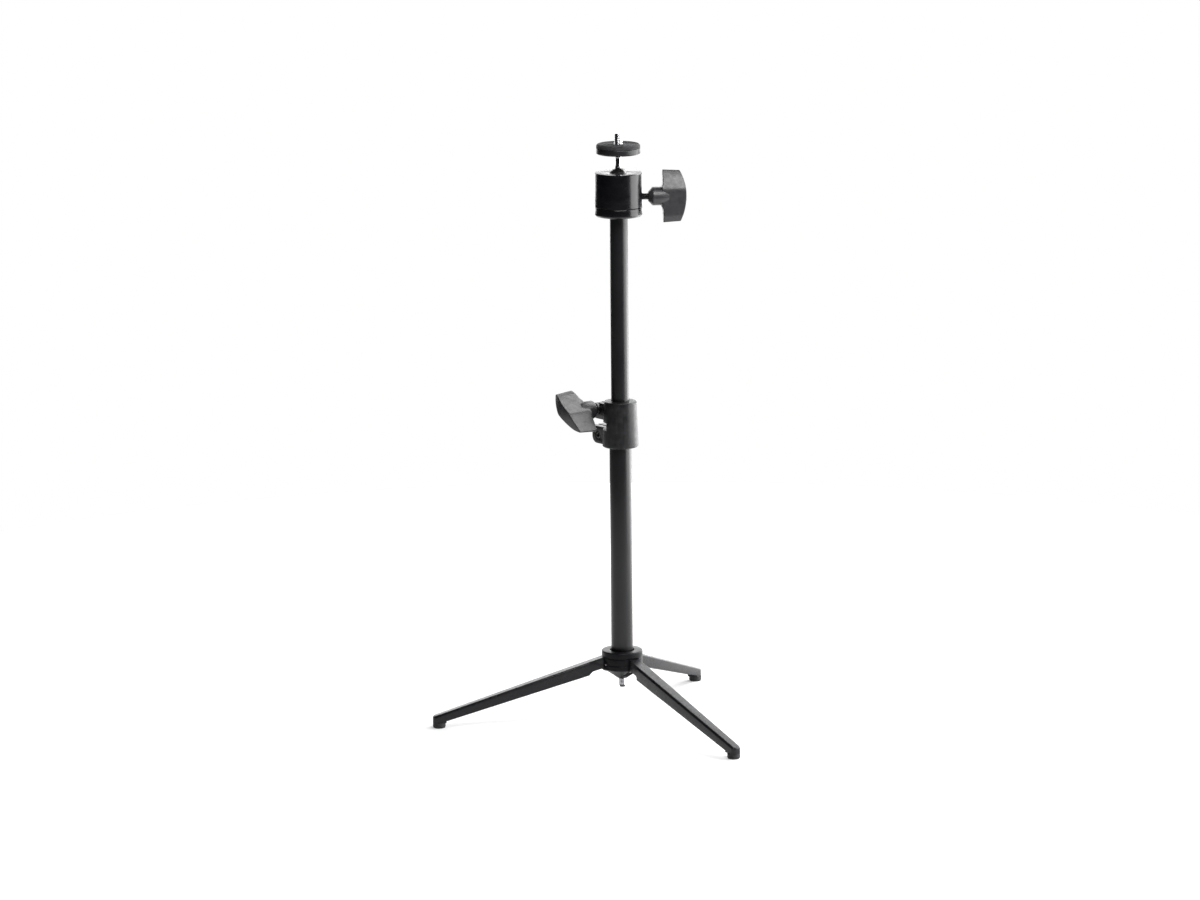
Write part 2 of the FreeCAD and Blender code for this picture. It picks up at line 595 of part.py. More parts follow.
def clamp_washer():
    body = ear_cylinder("clamp_washer", "clamp_screw_z", "washer_r", "ear_thickness / 2",
                        "ear_thickness / 2 + washer_thickness")
    hole = ring(body, "hole_side", "XZ_Plane", ("clamp_axis_x", "clamp_screw_z"),
                "screw_r + running_gap")
    cut(body, "hole", hole, "4 * ear_thickness", both_ways=True)
    place(body, "clamp_washer", EAR_AZIMUTH)


def fixing_screw():
    """Small socket screw that fixes the collar to the lower tube."""
    body = ear_cylinder("fixing_screw", "fixing_screw_z", "fixing_r", "-ear_thickness / 2 + 2 * fixing_sunk",
                        "ear_thickness / 2 - fixing_head_height")
    head = ring(body, "head_side", "XZ_Plane", ("clamp_axis_x", "fixing_screw_z"), "fixing_head_r",
                "-(ear_thickness / 2 - fixing_sunk)")
    block(body, "head", head, "fixing_head_height - fixing_sunk")
    socket = ring(body, "socket_side", "XZ_Plane", ("clamp_axis_x", "fixing_screw_z"), "fixing_socket_r",
                  "-(ear_thickness / 2 - fixing_sunk)")
    cut(body, "socket", socket, "fixing_socket_depth", backwards=True)
    place(body, "collar_fixing_screw", EAR_AZIMUTH)


def upper_tube():
    body = new_body("upper_tube_body")
    turned(body, "wall", [
        ("upper_tube_bore_r", "upper_tube_bottom_z"), ("upper_tube_r - tube_edge", "upper_tube_bottom_z"),
        ("upper_tube_r", "upper_tube_bottom_z + tube_edge"), ("upper_tube_r", "bush_bottom_z - fine_gap"),
        ("bush_groove_r", "bush_bottom_z - fine_gap"), ("bush_groove_r", "bush_top_z + fine_gap"),
        ("upper_tube_r", "bush_top_z + fine_gap"), ("upper_tube_r", "head_bottom_z"),
        ("upper_tube_bore_r", "head_bottom_z")])
    place(body, "upper_tube")


def guide_bush():
    """Nylon sleeve in the upper tube's groove; it guides the tube and stops it coming out."""
    body = new_body("guide_bush_body")
    turned(body, "sleeve", [
        ("bush_groove_r + running_gap", "bush_bottom_z"),
        ("lower_tube_bore_r - running_gap", "bush_bottom_z"),
        ("lower_tube_bore_r - running_gap", "bush_top_z"),
        ("bush_groove_r + running_gap", "bush_top_z")])
    place(body, "column_guide_bush")


def column_stud():
    """Plug in the top of the upper tube with the stud that the head screws onto."""
    body = new_body("column_stud_body")
    turned(body, "plug", [
        ("0", "stud_plug_bottom_z"), ("upper_tube_bore_r", "stud_plug_bottom_z"),
        ("upper_tube_bore_r", "head_bottom_z"), ("column_stud_r", "head_bottom_z"),
        ("column_stud_r", "column_stud_top_z - edge"), ("column_stud_r - edge", "column_stud_top_z"),
        ("0", "column_stud_top_z")])
    place(body, "column_top_stud")


# ---------------------------------------------------------------- wing knobs

def wing_knob(label, length):
    """Moulded wing knob along +X: a round nose, then a skewed wing with a crowned outer end."""
    body = new_body(label + "_body")
    turned(body, "nose", [
        ("0", "0"), ("0", "knob_nose_r"), ("knob_nose_length", "knob_hub_r"),
        ("knob_hub_length + overrun", "knob_hub_r"), ("knob_hub_length + overrun", "0")],
        "XY_Plane", "H_Axis")
    half = [("wing_half", "wing_end_thick"), ("wing_bevel", "wing_bevel_thick"),
            ("-wing_ridge_offset", "wing_ridge"), ("-wing_bevel", "wing_bevel_thick"),
            ("-wing_half", "wing_end_thick")]
    other = [("-(%s)" % across, "-(%s)" % up) for across, up in half]
    wing = outline(body, "wing_section", "YZ_Plane",
                   [(up, across) for across, up in half + other], "knob_hub_length")
    blade = block(body, "wing", wing, "%s - knob_hub_length" % length)
    bind(blade, "TaperAngle", "-wing_draft * 1 deg")
    doc.recompute()
    along_x = FreeCAD.Vector(1, 0, 0)
    outside = value_of("wing_bevel_thick") - 0.1
    rounded(body, "long_edges", "wing_round",
            lambda edge: is_straight_along(edge, along_x, 0.12)
            and math.hypot(edge_middle(edge).y, edge_middle(edge).z) > outside
            and edge_middle(edge).x > value_of("knob_hub_length") + 2)
    bore = ring(body, "bore_end", "YZ_Plane", ("0", "0"), "screw_r", "-overrun")
    cut(body, "bore", bore, "knob_bore_depth + overrun", backwards=True)
    crown = doc.addObject("Part::Sphere", label + "_crown")
    bind(crown, "Radius", "crown_r")
    bind(crown, "Placement.Base.x", "%s - crown_r" % length)
    knob = doc.addObject("Part::Common", label)
    knob.Base = body
    knob.Tool = crown
    knob.Label = label
    NODES.append(knob)
    return knob


def clamp_wing_knob():
    """The clamp's knob lies along the screw, square to the ears."""
    knob = wing_knob("clamp_wing_knob", "clamp_knob_length")
    facing = FreeCAD.Rotation(FreeCAD.Vector(0, 0, 1), EAR_AZIMUTH + 90)
    wing = FreeCAD.Rotation(FreeCAD.Vector(1, 0, 0), CLAMP_WING_TURN)
    knob.Placement = FreeCAD.Placement(FreeCAD.Vector(0, 0, 0), facing.multiply(wing))
    reach = "(ear_thickness / 2 + washer_thickness + running_gap)"
    ear, out = EAR_AZIMUTH, EAR_AZIMUTH + 90
    bind(knob, "Placement.Base.x",
         "axis_x + clamp_axis_x * cos(%g deg) + %s * cos(%g deg)" % (ear, reach, out))
    bind(knob, "Placement.Base.y",
         "clamp_axis_x * sin(%g deg) + %s * sin(%g deg)" % (ear, reach, out))
    bind(knob, "Placement.Base.z", "clamp_screw_z")


def head_wing_knob():
    knob = wing_knob("head_wing_knob", "head_knob_length")
    wing = FreeCAD.Rotation(FreeCAD.Vector(1, 0, 0), HEAD_WING_TURN)
    knob.Placement = FreeCAD.Placement(FreeCAD.Vector(0, 0, 0), wing)
    bind(knob, "Placement.Base.x", "axis_x + head_knob_x")
    bind(knob, "Placement.Base.z", "lock_z")


# ---------------------------------------------------------------- ball head

def head_base_ring():
    """Base of the head: it screws onto the column stud and closes the housing from below."""
    body = new_body("head_base_ring_body")
    turned(body, "base", [
        ("column_stud_r", "head_bottom_z"), ("head_r - ring_edge", "head_bottom_z"),
        ("head_r", "head_bottom_z + ring_edge"), ("head_r", "head_seam_z - ring_seam_edge"),
        ("head_r - ring_seam_edge", "head_seam_z"), ("head_bore_r", "head_seam_z"),
        ("head_bore_r", "head_thread_top_z"), ("column_stud_r", "head_thread_top_z")])
    place(body, "head_base_ring")


def head_housing():
    """Housing of the ball, with a mouth that holds the ball down and a hole for the lock screw."""
    body = new_body("head_housing_body")
    turned(body, "shell", [
        ("head_bore_r", "head_seam_z"), ("head_r - seam_edge", "head_seam_z"),
        ("head_r", "head_seam_z + seam_edge"), ("head_r", "head_top_z - rim_edge"),
        ("head_r - rim_edge", "head_top_z"), ("mouth_r", "head_top_z"),
        ("mouth_grip_r", "head_top_z - mouth_grip_depth"),
        ("mouth_back_r", "head_top_z - mouth_back_depth"),
        ("head_bore_r", "head_top_z - mouth_room_depth")])
    hole = ring(body, "lock_hole_end", "YZ_Plane", ("0", "lock_z"), "screw_r + running_gap")
    cut(body, "lock_hole", hole, "2 * head_r", backwards=True)
    place(body, "head_housing")


def ball_seat():
    """Cup under the ball; the lock pad wedges its cone upwards."""
    body = new_body("ball_seat_body")
    turned(body, "cup", [
        ("0", "lock_z - seat_drop"), ("seat_tip_r", "lock_z - seat_drop"),
        ("seat_cone_r", "lock_z + seat_rise"), ("head_bore_r - fine_gap", "lock_z + seat_rise"),
        ("head_bore_r - fine_gap", "ball_z - seat_rim_drop"),
        ("ball_r + fine_gap", "ball_z - seat_rim_drop"),
        ("seat_floor_r", "ball_z - ball_r - seat_floor_gap"),
        ("0", "ball_z - ball_r - seat_floor_gap")])
    place(body, "ball_seat")


def ball():
    sphere = doc.addObject("Part::Sphere", "ball")
    bind(sphere, "Radius", "ball_r")
    place(sphere, "ball", axis_z="ball_z")


def ball_stem():
    """Neck that stands on the ball, hollowed at its foot so that it clears the ball."""
    body = new_body("ball_stem_body")
    turned(body, "neck", [
        ("0", "ball_z + ball_r / 2"), ("stem_foot_r", "ball_z + ball_r / 2"),
        ("stem_foot_r", "ball_z + ball_r + stem_foot_height"),
        ("stem_r", "ball_z + ball_r + stem_waist_height"),
        ("stem_r", "plate_bottom_z - stem_flare"), ("stem_head_r", "plate_bottom_z - fine_gap"),
        ("stem_r", "plate_bottom_z - fine_gap"), ("stem_r", "plate_bottom_z + stem_peg"),
        ("0", "plate_bottom_z + stem_peg")])
    hollow = doc.addObject("Part::Sphere", "stem_hollow")
    bind(hollow, "Radius", "ball_r + stem_gap")
    bind(hollow, "Placement.Base.z", "ball_z")
    stem = doc.addObject("Part::Cut", "ball_stem")
    stem.Base = body
    stem.Tool = hollow
    place(stem, "ball_stem")


def lock_pad():
    """Brass pad with a round tip that pushes on the seat's cone; it slides but doesn't turn."""
    rod = doc.addObject("Part::Cylinder", "pad_rod")
    bind(rod, "Radius", "lock_pad_r")
    bind(rod, "Height", "lock_pad_end_x - lock_pad_tip_x - lock_pad_r")
    rod.Placement = FreeCAD.Placement(FreeCAD.Vector(0, 0, 0),
                                      FreeCAD.Rotation(FreeCAD.Vector(0, 1, 0), 90))
    bind(rod, "Placement.Base.x", "lock_pad_tip_x + lock_pad_r")
    tip = doc.addObject("Part::Sphere", "pad_tip")
    bind(tip, "Radius", "lock_pad_r")
    bind(tip, "Placement.Base.x", "lock_pad_tip_x + lock_pad_r")
    pad = doc.addObject("Part::Fuse", "head_lock_pad")
    pad.Base = rod
    pad.Tool = tip
    place(pad, "head_lock_pad", axis_z="lock_z")


def lock_screw():
    body = new_body("head_lock_screw_body")
    circle = ring(body, "end", "YZ_Plane", ("0", "lock_z"), "screw_r", "lock_pad_end_x + running_gap")
    block(body, "shank", circle, "head_knob_x + knob_bore_depth - lock_pad_end_x - running_gap")
    place(body, "head_lock_screw")


def camera_plate():
    body = new_body("camera_plate_body")
    turned(body, "disc", [
        ("0", "plate_bottom_z + stem_peg + peg_room"),
        ("stem_r + running_gap", "plate_bottom_z + stem_peg + peg_room"),
        ("stem_r + running_gap", "plate_bottom_z"), ("plate_r - plate_bevel_r", "plate_bottom_z"),
        ("plate_r", "plate_bottom_z + plate_bevel_z"), ("plate_r", "plate_top_z - plate_edge"),
        ("plate_r - plate_edge", "plate_top_z"), ("stud_shank_r", "plate_top_z"),
        ("stud_shank_r", STUD_FLOOR), ("0", STUD_FLOOR)])
    place(body, "camera_plate")


def plate_pad():
    body = new_body("plate_pad_body")
    turned(body, "pad", [
        ("stud_shank_r", "plate_top_z"), ("pad_r - pad_edge", "plate_top_z"),
        ("pad_r", "plate_top_z + pad_edge"), ("pad_r", "pad_top_z - pad_side_drop"),
        ("pad_r - pad_corner_r", "pad_top_z - pad_corner_drop"), ("pad_r - pad_flat_r", "pad_top_z"),
        ("stud_shank_r", "pad_top_z")])
    place(body, "plate_pad")


def camera_stud():
    body = new_body("camera_stud_body")
    turned(body, "stud", [
        ("0", STUD_FLOOR), ("stud_shank_r", STUD_FLOOR),
        ("stud_shank_r", "pad_top_z"), ("camera_stud_r", "pad_top_z"),
        ("camera_stud_r", "camera_stud_top_z - edge"),
        ("camera_stud_r - edge", "camera_stud_top_z"), ("0", "camera_stud_top_z")])
    place(body, "camera_stud")


# ---------------------------------------------------------------- build, check and write

def build():
    fill_sheet()
    hub_upper()
    hub_lower()
    centre_stud()
    for side, azimuth in LEG_AZIMUTHS:
        leg_pin("leg_pin_" + side, azimuth)
        leg("leg_" + side, azimuth)
        foot_pad("foot_pad_" + side, azimuth)
    for make in (lower_tube, lower_tube_plug, clamp_collar, clamp_nut, clamp_screw, clamp_washer,
                 clamp_wing_knob, fixing_screw, upper_tube, guide_bush, column_stud,
                 head_base_ring, head_housing, ball_seat, ball, ball_stem, lock_pad, lock_screw,
                 head_wing_knob, camera_plate, plate_pad, camera_stud):
        make()
    doc.recompute()


def check():
    for thing in doc.Objects:
        if "Invalid" in thing.State or "Error" in thing.State:
            raise RuntimeError("%s failed: %s" % (thing.Name, thing.State))
    for node in NODES:
        if node.Shape.isNull() or not node.Shape.isValid() or not node.Shape.Solids:
            raise RuntimeError("%s has no valid solid" % node.Label)


def write():
    os.makedirs("parts", exist_ok=True)
    for node in NODES:
        node.Shape.exportStep("parts/%s.step" % node.Label)
        box = node.Shape.BoundBox
        print("%-20s %9.1f mm3  x %7.2f %7.2f  y %7.2f %7.2f  z %7.2f %7.2f" % (
            node.Label, node.Shape.Volume, box.XMin, box.XMax, box.YMin, box.YMax,
            box.ZMin, box.ZMax))


build()
check()
write()
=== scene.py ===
import json
import math

import bmesh
import bpy
from mathutils import Matrix, Quaternion, Vector

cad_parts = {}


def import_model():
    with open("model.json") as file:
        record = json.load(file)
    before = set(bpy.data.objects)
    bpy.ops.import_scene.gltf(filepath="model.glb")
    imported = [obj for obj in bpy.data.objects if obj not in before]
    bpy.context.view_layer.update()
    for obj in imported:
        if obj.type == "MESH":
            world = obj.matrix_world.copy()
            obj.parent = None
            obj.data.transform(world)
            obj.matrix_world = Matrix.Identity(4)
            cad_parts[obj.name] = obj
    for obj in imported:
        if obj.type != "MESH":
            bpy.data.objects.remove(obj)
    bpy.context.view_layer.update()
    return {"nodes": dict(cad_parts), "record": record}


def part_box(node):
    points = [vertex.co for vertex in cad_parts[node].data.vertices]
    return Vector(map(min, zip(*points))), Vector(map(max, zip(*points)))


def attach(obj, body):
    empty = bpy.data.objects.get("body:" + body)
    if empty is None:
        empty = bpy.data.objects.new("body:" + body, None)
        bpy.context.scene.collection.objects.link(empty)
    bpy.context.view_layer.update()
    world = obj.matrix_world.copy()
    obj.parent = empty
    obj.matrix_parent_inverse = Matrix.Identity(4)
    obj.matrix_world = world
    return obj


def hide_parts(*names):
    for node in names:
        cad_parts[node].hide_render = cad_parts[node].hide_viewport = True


# Small black tabletop tripod with a ball head.  Blender's lengths are metres.  Names that end in
# _MM, the wing knobs' sizes and every turned profile below are in millimetres.

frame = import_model()
MM = 0.001
UP = Vector((0, 0, 1))
COLUMN = (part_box("lower_tube")[0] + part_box("lower_tube")[1]) / 2
COLUMN.z = 0.0
BODY_OF = {node: body for body, nodes in frame["record"]["behaviour"]["bodies"].items()
           for node in nodes}
SLOT_OF = {part["node"]: part["material_slot"] for part in frame["record"]["subparts"]}
JOINTS = {joint["name"]: joint for joint in frame["record"]["behaviour"]["joints"]}


# ---------------------------------------------------------------- studio

VIEW_AZIMUTH = math.radians(-5.7)
VIEW_ELEVATION = math.radians(11.5)
VIEW_ROLL = math.radians(0.5)
VIEW_DISTANCE = 4.0
VIEW_HEIGHT = 0.2
FRAME_WIDTH_AT_TARGET = 0.8696
SENSOR_WIDTH = 36.0
CLIP_END = 60.0
TARGET_RIGHT_OF_MIDDLE = 0.0149
TARGET_BELOW_MIDDLE = 0.0027

TO_CAMERA = Vector((math.sin(VIEW_AZIMUTH), -math.cos(VIEW_AZIMUTH), 0))
TO_RIGHT = Vector((math.cos(VIEW_AZIMUTH), math.sin(VIEW_AZIMUTH), 0))

SOFTBOXES = (
    # name, bearing, distance, height, (width, height) of its face, radiance, height it aims at
    ("right_box", 94, 0.8, 0.50, (1.15, 1.0), 6.8, 0.3),
    ("back_right_top", 140, 0.45, 0.78, (0.34, 0.34), 7.0, 0.24),
    ("back_right_low", 132, 0.55, 0.13, (0.5, 0.24), 5.0, 0.0),
    ("backdrop", 180, 1.9, 0.36, (3.6, 0.72), 3.2, 0.2),
    ("back_high", 170, 1.9, 1.33, (3.6, 0.72), 3.4, 0.2),
    ("front_top", 14, 0.42, 0.78, (0.44, 0.28), 12.0, 0.38),
)
SURROUNDINGS = (0.014, 0.014, 0.015, 1)
WHITE = (1, 1, 1, 1)

FLOOR_RADIUS = 0.85
FLOOR_COLOUR = (0.58, 0.58, 0.58, 1)
GLOW_START, GLOW_FULL = 0.15, 0.6
MIDDLE_GLOW, RIM_GLOW = 0.30, 1.0


def camera():
    """Long lens at the photographed angle, with the column a little right of the middle."""
    back = TO_CAMERA * math.cos(VIEW_ELEVATION) + UP * math.sin(VIEW_ELEVATION)
    above = back.cross(TO_RIGHT)
    target = COLUMN + UP * VIEW_HEIGHT - TO_RIGHT * TARGET_RIGHT_OF_MIDDLE + above * TARGET_BELOW_MIDDLE
    data = bpy.data.cameras.new("camera")
    data.sensor_width = SENSOR_WIDTH
    data.lens = SENSOR_WIDTH * VIEW_DISTANCE / FRAME_WIDTH_AT_TARGET
    data.clip_end = CLIP_END
    made = bpy.data.objects.new("camera", data)
    made.location = target + back * VIEW_DISTANCE
    made.rotation_mode = "QUATERNION"
    made.rotation_quaternion = (-back).to_track_quat("-Z", "Y") @ Quaternion(UP, -VIEW_ROLL)
    bpy.context.scene.collection.objects.link(made)
    bpy.context.scene.camera = made


def softbox(name, bearing, distance, height, size, radiance, aim_height):
    """Rectangular light that the camera doesn't see.  Its bearing is counted in degrees from the
    camera's side towards the right, and its strength is the radiance of its face."""
    width, tall = size
    angle = math.radians(bearing)
    away = TO_CAMERA * math.cos(angle) + TO_RIGHT * math.sin(angle)
    place = COLUMN + away * distance + UP * height
    data = bpy.data.lights.new(name, "AREA")
    data.shape = "RECTANGLE"
    data.size = width
    data.size_y = tall
    data.energy = radiance * math.pi * width * tall
    made = bpy.data.objects.new(name, data)
    made.location = place
    made.rotation_mode = "QUATERNION"
    made.rotation_quaternion = (COLUMN + UP * aim_height - place).to_track_quat("-Z", "Y")
    made.visible_camera = False
    bpy.context.scene.collection.objects.link(made)


def lights():
    """A large box on the right, a pale backdrop, and small boxes that edge the black metal."""
    for box in SOFTBOXES:
        softbox(*box)


def world():
    """Dark surroundings that a straight look sees as white."""
    made = bpy.data.worlds.new("studio")
    bpy.context.scene.world = made
    made.use_nodes = True
    nodes, links = made.node_tree.nodes, made.node_tree.links
    nodes.clear()
    output = nodes.new("ShaderNodeOutputWorld")
    mix = nodes.new("ShaderNodeMixShader")
    path = nodes.new("ShaderNodeLightPath")
    dark = nodes.new("ShaderNodeBackground")
    dark.inputs["Color"].default_value = SURROUNDINGS
    white = nodes.new("ShaderNodeBackground")
    white.inputs["Color"].default_value = WHITE
    links.new(path.outputs["Is Camera Ray"], mix.inputs["Fac"])
    links.new(dark.outputs["Background"], mix.inputs[1])
    links.new(white.outputs["Background"], mix.inputs[2])
    links.new(mix.outputs["Shader"], output.inputs["Surface"])


def floor():
    """Round white sheet under the tripod.  It glows more towards its rim, where it meets the white."""
    mesh = bpy.data.meshes.new("floor")
    made = bpy.data.objects.new("floor", mesh)
    shape = bmesh.new()
    bmesh.ops.create_circle(shape, cap_ends=True, segments=96, radius=FLOOR_RADIUS)
    shape.to_mesh(mesh)
    shape.free()
    material = bpy.data.materials.new("floor_paper")
    material.use_nodes = True
    nodes, links = material.node_tree.nodes, material.node_tree.links
    surface = nodes["Principled BSDF"]
    surface.inputs["Base Color"].default_value = FLOOR_COLOUR
    surface.inputs["Roughness"].default_value = 0.9
    surface.inputs["Specular IOR Level"].default_value = 0.1
    surface.inputs["Emission Color"].default_value = WHITE
    place = nodes.new("ShaderNodeTexCoord")
    reach = nodes.new("ShaderNodeVectorMath")
    reach.operation = "LENGTH"
    glow = nodes.new("ShaderNodeMapRange")
    glow.inputs["From Min"].default_value = GLOW_START
    glow.inputs["From Max"].default_value = GLOW_FULL
    glow.inputs["To Min"].default_value = MIDDLE_GLOW
    glow.inputs["To Max"].default_value = RIM_GLOW
    links.new(place.outputs["Object"], reach.inputs[0])
    links.new(reach.outputs["Value"], glow.inputs["Value"])
    links.new(glow.outputs["Result"], surface.inputs["Emission Strength"])
    mesh.materials.append(material)
    made.location = COLUMN
    bpy.context.scene.collection.objects.link(made)


# ---------------------------------------------------------------- mesh tools

SHARP_ANGLE = 35
ROLLED_SHARP_ANGLE = 40
THREAD_SHARP_ANGLE = 50
ROLLED_EDGE_ANGLE = 28
ROLL_STEPS = 3
WELD_MM = 0.002
FLAT_ANGLE = 0.3
ON_AXIS_MM = 1e-6
CORNER_SHARE = 0.48  # of a side's length, the most that one rounded corner may take
CORNER_STEPS = 4


def link(name, mesh):
    made = bpy.data.objects.new(name, mesh)
    bpy.context.scene.collection.objects.link(made)
    return made


def smooth(mesh, angle):
    """Smooth shading, with the edges above an angle in degrees left sharp."""
    mesh.shade_smooth()
    mesh.set_sharp_from_angle(angle=math.radians(angle))


def finished(name, shape, angle=SHARP_ANGLE):
    """Mesh object from a bmesh, with its normals turned outwards."""
    bmesh.ops.recalc_face_normals(shape, faces=shape.faces)
    mesh = bpy.data.meshes.new(name)
    shape.to_mesh(mesh)
    shape.free()
    smooth(mesh, angle)
    return link(name, mesh)


def applied(thing, angle):
    """The same object with its modifiers worked into its mesh."""
    graph = bpy.context.evaluated_depsgraph_get()
    mesh = bpy.data.meshes.new_from_object(thing.evaluated_get(graph))
    thing.modifiers.clear()
    thing.data = mesh
    mesh.name = thing.name
    smooth(mesh, angle)
    return thing


def softened(node, name, width_mm, share_of=None):
    """Copy of a CAD piece with its flat faces joined up and its sharp edges rolled over.
    share_of gives an edge's own share of the width, from 0 to 1."""
    shape = bmesh.new()
    shape.from_mesh(frame["nodes"][node].data)
    bmesh.ops.remove_doubles(shape, verts=shape.verts, dist=WELD_MM * MM)
    bmesh.ops.dissolve_limit(shape, angle_limit=math.radians(FLAT_ANGLE), verts=shape.verts,
                             edges=shape.edges, use_dissolve_boundaries=False)
    weight = shape.edges.layers.float.new("bevel_weight_edge")
    for edge in shape.edges:
        if len(edge.link_faces) == 2 and edge.calc_face_angle(0) > math.radians(ROLLED_EDGE_ANGLE):
            edge[weight] = share_of(edge) if share_of else 1.0
    mesh = bpy.data.meshes.new(name)
    shape.to_mesh(mesh)
    shape.free()
    made = link(name, mesh)
    roll = made.modifiers.new("roll", "BEVEL")
    roll.limit_method = "WEIGHT"
    roll.offset_type = "OFFSET"
    roll.width = width_mm * MM
    roll.segments = ROLL_STEPS
    return applied(made, ROLLED_SHARP_ANGLE)


def arc_corner(before, corner, after, radius, steps):
    """Points that round off one corner of a path."""
    here = Vector(corner)
    first, last = Vector(before) - here, Vector(after) - here
    turn = first.angle(last)
    back = min(radius / math.tan(turn / 2), CORNER_SHARE * first.length, CORNER_SHARE * last.length)
    start, end = here + first.normalized() * back, here + last.normalized() * back
    centre = here + (first.normalized() + last.normalized()).normalized() * back / math.cos(turn / 2)
    points = []
    for step in range(steps + 1):
        share = step / steps
        spoke = (start - centre).lerp(end - centre, share)
        points.append(tuple(centre + spoke.normalized() * (start - centre).length))
    return points


def rounded_path(corners, closed=False, steps=CORNER_STEPS):
    """Path through (across, up, rounding) corners."""
    count = len(corners)
    points = []
    for index, (across, up, radius) in enumerate(corners):
        at_end = not closed and index in (0, count - 1)
        if radius == 0 or at_end:
            points.append((across, up))
            continue
        before, after = corners[index - 1][:2], corners[(index + 1) % count][:2]
        points += arc_corner(before, (across, up), after, radius, steps)
    return points


def lathe(name, path, closed=False, segments=96, base=None):
    """Solid of revolution of a (radius, height) path about the column, or about another base."""
    base = base or Matrix.Translation(COLUMN)
    shape = bmesh.new()
    rings = []
    for radius, height in path:
        count = 1 if radius < ON_AXIS_MM else segments
        rings.append([shape.verts.new(base @ Vector((
            radius * MM * math.cos(2 * math.pi * step / segments),
            radius * MM * math.sin(2 * math.pi * step / segments), height * MM)))
            for step in range(count)])
    pairs = list(zip(rings, rings[1:]))
    if closed:
        pairs.append((rings[-1], rings[0]))
    for low, high in pairs:
        for step in range(segments):
            ahead = (step + 1) % segments
            corners = [low[step % len(low)], low[ahead % len(low)],
                       high[ahead % len(high)], high[step % len(high)]]
            distinct = list(dict.fromkeys(corners))
            if len(distinct) > 2:
                shape.faces.new(distinct)
    return finished(name, shape)


def along(start, direction):
    """Base whose local Z runs from a start along a direction."""
    turn = Vector(direction).to_track_quat("Z", "Y").to_matrix().to_4x4()
    return Matrix.Translation(start) @ turn


THREAD_STEPS = 10
THREAD_SEGMENTS = 48
THREAD_DEPTH = 0.57  # of the pitch
FLANK_SLOPE = 1.25
CREST_SHARE = 0.12


def threaded(name, base, length_mm, radius_mm, pitch_mm, point_mm):
    """Rod with a helical thread and ends chamfered over a point's length."""
    depth = THREAD_DEPTH * pitch_mm
    count = round(length_mm / pitch_mm * THREAD_STEPS)
    shape = bmesh.new()
    rings = []
    for level in range(count + 1):
        height = length_mm * level / count
        end = min(height, length_mm - height)
        limit = radius_mm - max(0.0, point_mm - end)
        ring = []
        for step in range(THREAD_SEGMENTS):
            phase = (height / pitch_mm - step / THREAD_SEGMENTS) % 1.0
            cut = depth * min(1.0, max(0.0, FLANK_SLOPE * abs(2 * phase - 1) - CREST_SHARE))
            radius = min(radius_mm - cut, limit)
            turn = 2 * math.pi * step / THREAD_SEGMENTS
            ring.append(shape.verts.new(base @ Vector((
                radius * MM * math.cos(turn), radius * MM * math.sin(turn), height * MM))))
        rings.append(ring)
    for low, high in zip(rings, rings[1:]):
        for step in range(THREAD_SEGMENTS):
            ahead = (step + 1) % THREAD_SEGMENTS
            shape.faces.new((low[step], low[ahead], high[ahead], high[step]))
    shape.faces.new(rings[0])
    shape.faces.new(rings[-1])
    return finished(name, shape, THREAD_SHARP_ANGLE)


# ---------------------------------------------------------------- materials

NOISE_LOW, NOISE_HIGH = 0.3, 0.7


